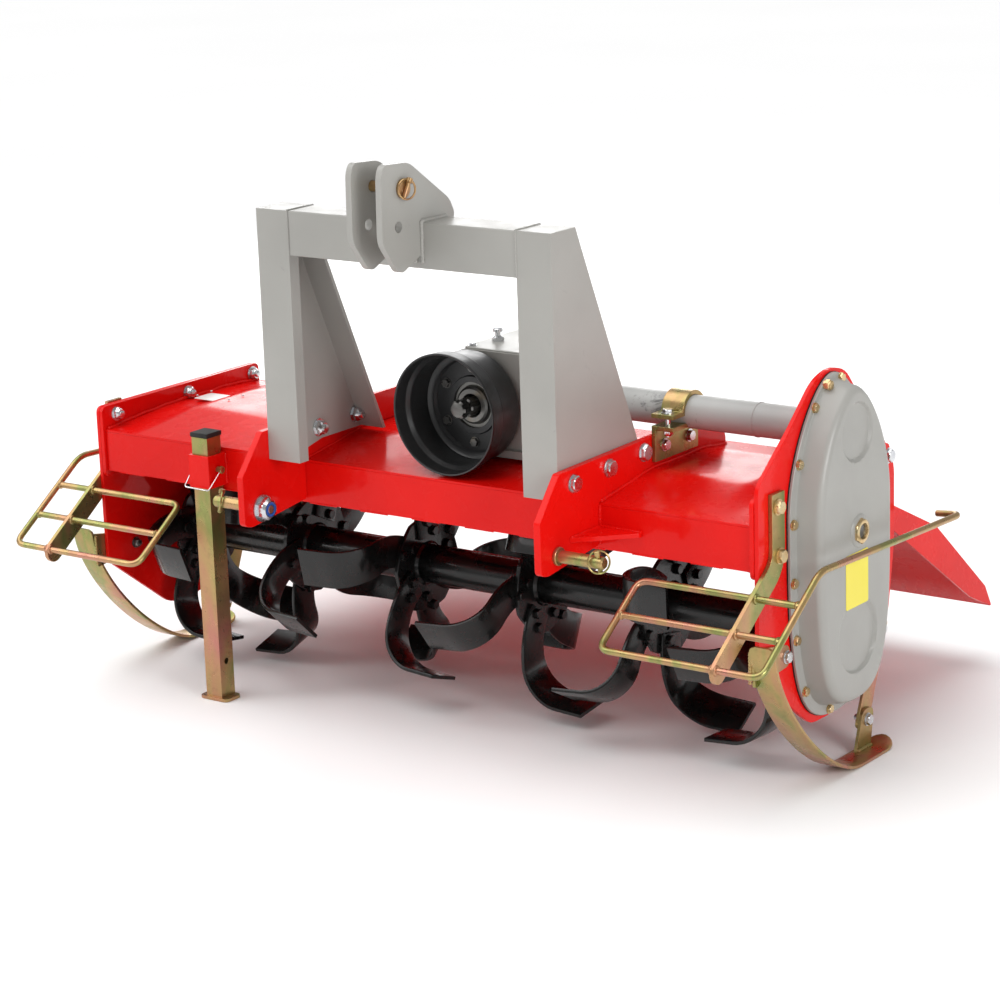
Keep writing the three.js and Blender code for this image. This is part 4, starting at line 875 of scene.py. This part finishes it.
guard = {"rod": 6.0, "bend": 22, "innerReach": 222, "outerReach": 93, "bottomY": -52, "bottomZ": 282, "topY": 75,
         "topZ": 370, "kinkY": 137, "rearY": 630, "rearZ": 395, "hook": 52, "armWidth": 40, "armThick": 8,
         "armY": 149, "armTopZ": 534, "armBendZ": 410, "armDrop": 14, "armBend": 31}
skid = {"width": 50, "thick": 6, "frontY": 64, "topZ": 292, "flatY": 355, "tailY": 475, "tailLength": 36,
        "tailRise": 14, "fullness": 0.37, "topRadius": 11, "lugThick": 6}
lugFront = [(64, 284, 3), (184, 262, 14), (184, 226, 14), (73, 216, 3)]
lugRear = [(397, 3, 2), (449, 3, 2), (461, 74, 16), (423, 78, 16)]
rodBead = [(-2.5, 5.6), (-1.5, 8.4), (0.5, 9.6), (2.5, 8.8), (3.6, 5.6)]
rodCollar = [(2, 6.0), (5, 8.6), (7.5, 8), (9.5, 6.0)]


# Guard: a bent rod round three sides of a box with a rail to the rear, a bar across its middle, and the
# flat arm that carries it. x is the distance outwards from the side plate's face.
def guardShapes(side, face):
    low, high, foot, top = guard["bottomY"], guard["topY"], guard["bottomZ"], guard["topZ"]
    rise = (top - foot) / (high - low)
    inner, outer = -guard["innerReach"], guard["outerReach"]
    corners = np.array([
        (outer, high, top), (inner, high, top), (inner, low, foot), (outer, low, foot),
        (outer, guard["kinkY"], foot + rise * (guard["kinkY"] - low)), (outer, guard["rearY"], guard["rearZ"]),
        (outer - guard["hook"], guard["rearY"] + 10, guard["rearZ"] - 7)], float)
    middleY, middleZ = (low + high) / 2, (foot + top) / 2
    toSide, shift = np.array([side, 1, 1]), np.array([face, 0, 0])
    rod = roundedPath(corners, guard["bend"], 8) * toSide + shift
    bar = resample([(inner, middleY, middleZ), (outer, middleY, middleZ)], 20)[0] * toSide + shift
    shapes = [tube(rod, guard["rod"], 16), tube(bar, guard["rod"], 16)]
    bend = np.array([guard["armY"], guard["armBendZ"]])
    end = np.array([low + 4, foot + 4 * rise - guard["armDrop"]])
    end = end - unit(end - bend) * 8
    arm = roundedPath([(0, guard["armY"], guard["armTopZ"]), (0, *bend), (0, *end)], guard["armBend"], 9)[:, 1:]
    x0, x1 = face + side * plateGap, face + side * (plateGap + guard["armThick"])
    shapes.append(sidePlate(stripOutline(arm, guard["armWidth"] / 2), x0, x1))
    for y, z in ((low, foot), (middleY, middleZ), (high, top)):
        for x, way in ((x0, -side), (x1, side)):
            shapes.append(turned(rodBead, (x, y, z), (way, 0, 0), 20))
    for x, y, z, away in ((inner, middleY, middleZ, 1), (outer, middleY, middleZ, -1), (outer, high, top, -1)):
        shapes.append(turned(rodCollar, np.array([x, y, z]) * toSide + shift, (side * away, 0, 0), 18))
    return shapes


# Skid strip: a cubic curve down from its upright top to the ground, then flat, with its tail turned up.
def skidShapes(side, face):
    half = skid["thick"] / 2
    top = np.array([skid["frontY"], skid["topZ"]])
    low = np.array([skid["flatY"], half])
    t = np.linspace(0, 1, 40)[:, None]
    down = top - [0, skid["fullness"] * (top[1] - low[1])]
    across = low - [skid["fullness"] * (low[0] - top[0]), 0]
    curve = (1 - t) ** 3 * top + 3 * t * (1 - t) ** 2 * down + 3 * t * t * (1 - t) * across + t ** 3 * low
    tail = np.linspace(0, 1, 14)[:, None]
    tailStart = np.array([skid["tailY"] - skid["tailLength"], half])
    tailEnd = np.array([skid["tailY"], half + skid["tailRise"]])
    bent = tailStart + (tailEnd - tailStart) * np.concatenate([tail, tail ** 1.9], 1)
    flat = np.concatenate([curve, bent])
    x = face + side * (plateGap + skid["width"] / 2)
    path, fromTop = resample(np.column_stack([np.full(len(flat), x), flat]), 4)
    fromTail = fromTop[-1] - fromTop
    # Half the width near a rounded end is the root of radius^2 - (radius - distance)^2.
    topRadius, tailRadius = skid["topRadius"], skid["width"] / 2
    atTop = np.sqrt(topRadius ** 2 - np.clip(topRadius - fromTop, 0, topRadius) ** 2)
    atTail = np.sqrt(tailRadius ** 2 - np.clip(tailRadius - fromTail, 0, tailRadius - 0.4) ** 2)
    width = np.minimum(skid["width"] - 2 * (topRadius - atTop), 2 * atTail + 0.6)
    shapes = [flatBar(path, (1, 0, 0), skid["thick"], width, 1.4)]
    lug = side * skid["lugThick"]
    near = face + side * plateGap
    shapes.append(sidePlate(roundedOutline(lugFront), near, near + lug))
    near = face + side * 6.6
    shapes.append(sidePlate(roundedOutline(lugRear), near, near + lug))
    bead = near + lug + side * 1.5
    shapes.append(weldBead([(bead, 399, 7), (bead, 447, 7)], 3.4, 5.5, 0.5))
    bead = near - side * 8
    shapes.append(weldBead([(bead, 68.5, 222), (bead, 68.5, 280)], 3.0, 5.5, 0.5))
    return shapes


for name, side, face in (("left", -1, leftOuter), ("right", 1, rightOuter)):
    makePiece(f"guard_rods_{name}", guardShapes(side, face), "yellowZinc", replaced=(f"guard_{name}",), edge=0.8)
    makePiece(f"skid_strip_{name}", skidShapes(side, face), "yellowZinc", replaced=(f"skid_{name}",), edge=0.7)
print("stage: guards and skids made")


# Clip pin: a peg through the pin's end, with a round wire ring hung on its head.
def clipPin(centre, pegAxis, ringNormal, ringRadius, pegHalf, pegRadius):
    pegAxis, _, _ = acrossAxis(pegAxis)
    normal, first, second = acrossAxis(ringNormal)
    centre = np.asarray(centre, float)
    peg = turned([(-pegHalf, 2.4), (-pegHalf + 2, pegRadius), (pegHalf - 7, pegRadius), (pegHalf - 6, 6),
                  (pegHalf + 1, 6), (pegHalf + 2, 4.5)], centre, pegAxis, 18)
    angle = np.arange(40) * 2 * pi / 40
    hub = centre + pegAxis * (pegHalf - 2)
    middle = hub - pegAxis * (ringRadius - 1)
    ring = middle + ringRadius * (np.cos(angle)[:, None] * first + np.sin(angle)[:, None] * second)
    return [peg, tube(ring, 1.7, 8, loop=True)]


lowerPin = {"y": -27, "z": 424, "clipFromPlate": 84}
stud = [(0, 6.6), (1.5, 8), (22, 8), (22, 10.6), (36.4, 10.6), (36.4, 15), (37.4, 16), (41.6, 16), (42.6, 15),
        (42.6, 11), (129.2, 11), (132.3, 8.4)]
studNut = [(0, 25), (3, 25), (3, 21, 1), (15, 21, 1), (17, 17.5), (21, 15.5), (21, 13.4), (17, 13.2)]
insert = [(15, 8.2), (15, 13.8), (20.6, 13.6), (21.6, 12.8), (21.6, 8.2)]
for side, name in ((-1, "left"), (1, "right")):
    y, z = lowerPin["y"], lowerPin["z"]
    shapes = [turned(stud, (side * (legOuter - 22), y, z), (side, 0, 0), 36)]
    clip = (side * (hitchOuter + lowerPin["clipFromPlate"]), y, z)
    shapes += clipPin(clip, (0.0, -0.25 * side, 1.0), (0.75 * side, -0.62, 0.2), 19, 21, 4.2)
    makePiece(f"lower_hitch_pin_{name}", shapes, "yellowZinc", replaced=(f"lower_pin_{name}",))
    place = (side * (hitchOuter - hitchThick - 0.4), y, z)
    makePiece(f"hitch_pin_nut_{name}", [turned(studNut, place, (-side, 0, 0), 36)], "silverZinc")
    makePiece(f"hitch_pin_nut_insert_{name}", [turned(insert, place, (-side, 0, 0), 36, loop=True)], "blueNylon")

topPin = {"y": -48, "z": 1030, "radius": 9.5}
topLow, topHigh = nodeBox("top_link_pin")
earFace = nodeBox("top_link_ear_right")[1][0]
y, z, radius, length = topPin["y"], topPin["z"], topPin["radius"], topHigh[0] - topLow[0]
peg = [(0, 7.5), (1.6, radius), (length - 1.6, radius), (length, 8)]
collar = [(0.3, 16.4), (1.6, 16.6), (4.5, 16.6), (5.6, 15.4)]
shapes = [turned(peg, (topLow[0], y, z), (1, 0, 0), 32), turned(collar, (earFace, y, z), (1, 0, 0), 32)]
shapes += clipPin((earFace + 10, y, z), (0, 0.5, 0.86), (0.9, -0.3, 0.1), 17, 17, 3.4)
makePiece("top_hitch_pin", shapes, "yellowZinc", replaced=("top_link_pin",))

standMiddle = (socketLow + socketHigh) / 2
wireTop = 450
wire = roundedPath([
    (socketHigh[0] + 9, standMiddle[1], wireTop), (socketHigh[0] + 4, socketLow[1] - 8, wireTop - 34),
    (socketLow[0] - 4, socketLow[1] - 10, wireTop - 32), (socketLow[0] - 9, standMiddle[1], wireTop)], 5)
makePiece("stand_lock_wire", [tube(resample(wire, 2)[0], 1.3, 8)], "silverZinc")
head, tail = [(-1, 5.6), (7, 5.6), (7, 7), (12, 7), (13, 5.6)], [(-1, 5.6), (10, 5.6), (11.5, 4)]
shapes = [turned(head, (socketHigh[0], standMiddle[1], wireTop), (1, 0, 0), 20),
          turned(tail, (socketLow[0], standMiddle[1], wireTop), (-1, 0, 0), 20)]
makePiece("stand_lock_pin", shapes, "yellowZinc")
bearingPlaces = circlePlaces(nodeBox("rotor_bearing")[1][0] - 10, rotorZ, 52, (45, 135, 225, 315))
makePiece("rotor_bearing_bolts", fastenings(hexBolt(8.5), bearingPlaces, (-1, 0, 0)), "silverZinc")
print("stage: pins and bolts made")


studio = {
    "floorColour": (0.97, 0.97, 0.97), "floorShade": (0.955, 0.955, 0.955), "floorHalf": 40,
    "worldColour": (1.0, 1.0, 1.0), "worldStrength": 0.4,
    "sunStrength": 2.3, "sunAngle": 70, "sunFrom": (-0.35, -0.25, 1.0),
    "lights": [
        ("back_softbox", (-2.9, 3.9, 1.9), (0.0, 0.0, 0.45), 2.2, 55.0),
        ("left_softbox", (-3.4, -3.0, 1.9), (0.0, 0.0, 0.5), 1.6, 24.0),
        ("right_softbox", (4.2, -1.6, 1.8), (0.3, 0.0, 0.5), 1.6, 70.0),
    ],
}
view = {"target": (0.1765, -0.2976, 0.449), "distance": 5.330, "azimuth": 36.46, "elevation": 14.65,
        "roll": -1.97, "lens": 108.6}

floorMaterial, floorTree, floorShader, floorPlace = newMaterial("pale_floor", {"Roughness": 0.75})
floorDrift = noise(floorTree, floorPlace, 0.7, 2.0)
floorTone = ramp(floorTree, floorDrift, [(0.3, studio["floorColour"]), (0.7, studio["floorShade"])])
floorTree.links.new(floorTone, floorShader.inputs["Base Color"])
floorMesh = bpy.data.meshes.new("floor")
half = studio["floorHalf"]
floorMesh.from_pydata([(x * half, y * half, -0.0005) for x, y in ((-1, -1), (1, -1), (1, 1), (-1, 1))], [],
                      [(0, 1, 2, 3)])
floorMesh.materials.append(floorMaterial)
floor = bpy.data.objects.new("floor", floorMesh)
scene.collection.objects.link(floor)

world = bpy.data.worlds.new("soft_daylight")
scene.world = world
world.use_nodes = True
background = world.node_tree.nodes["Background"]
background.inputs["Color"].default_value = (*studio["worldColour"], 1.0)
background.inputs["Strength"].default_value = studio["worldStrength"]
for name, location, target, size, power in studio["lights"]:
    lamp = bpy.data.lights.new(name, "AREA")
    lamp.energy = power
    lamp.size = size
    holder = bpy.data.objects.new(name, lamp)
    holder.location = location
    holder.rotation_euler = (Vector(target) - Vector(location)).to_track_quat("-Z", "Y").to_euler()
    scene.collection.objects.link(holder)

sun = bpy.data.lights.new("overhead_light", "SUN")
sun.energy = studio["sunStrength"]
sun.angle = radians(studio["sunAngle"])
sunHolder = bpy.data.objects.new("overhead_light", sun)
sunHolder.rotation_euler = Vector(studio["sunFrom"]).to_track_quat("Z", "Y").to_euler()
scene.collection.objects.link(sunHolder)

azimuth, elevation, roll = (radians(view[key]) for key in ("azimuth", "elevation", "roll"))
back = Vector((sin(azimuth) * cos(elevation), -cos(azimuth) * cos(elevation),
               sin(elevation)))
right = Vector((cos(azimuth), sin(azimuth), 0))
up = back.cross(right)
rolledRight = right * cos(roll) + up * sin(roll)
rolledUp = up * cos(roll) - right * sin(roll)
camera = bpy.data.objects.new("camera", bpy.data.cameras.new("camera"))
camera.data.lens = view["lens"]
camera.data.sensor_width = 36
camera.data.clip_end = 200
rotation = Matrix((rolledRight, rolledUp, back)).transposed().to_4x4()
camera.matrix_world = Matrix.Translation(Vector(view["target"]) + back * view["distance"]) @ rotation
scene.collection.objects.link(camera)
scene.camera = camera
scene.view_settings.view_transform = "Standard"
print("stage: studio made")
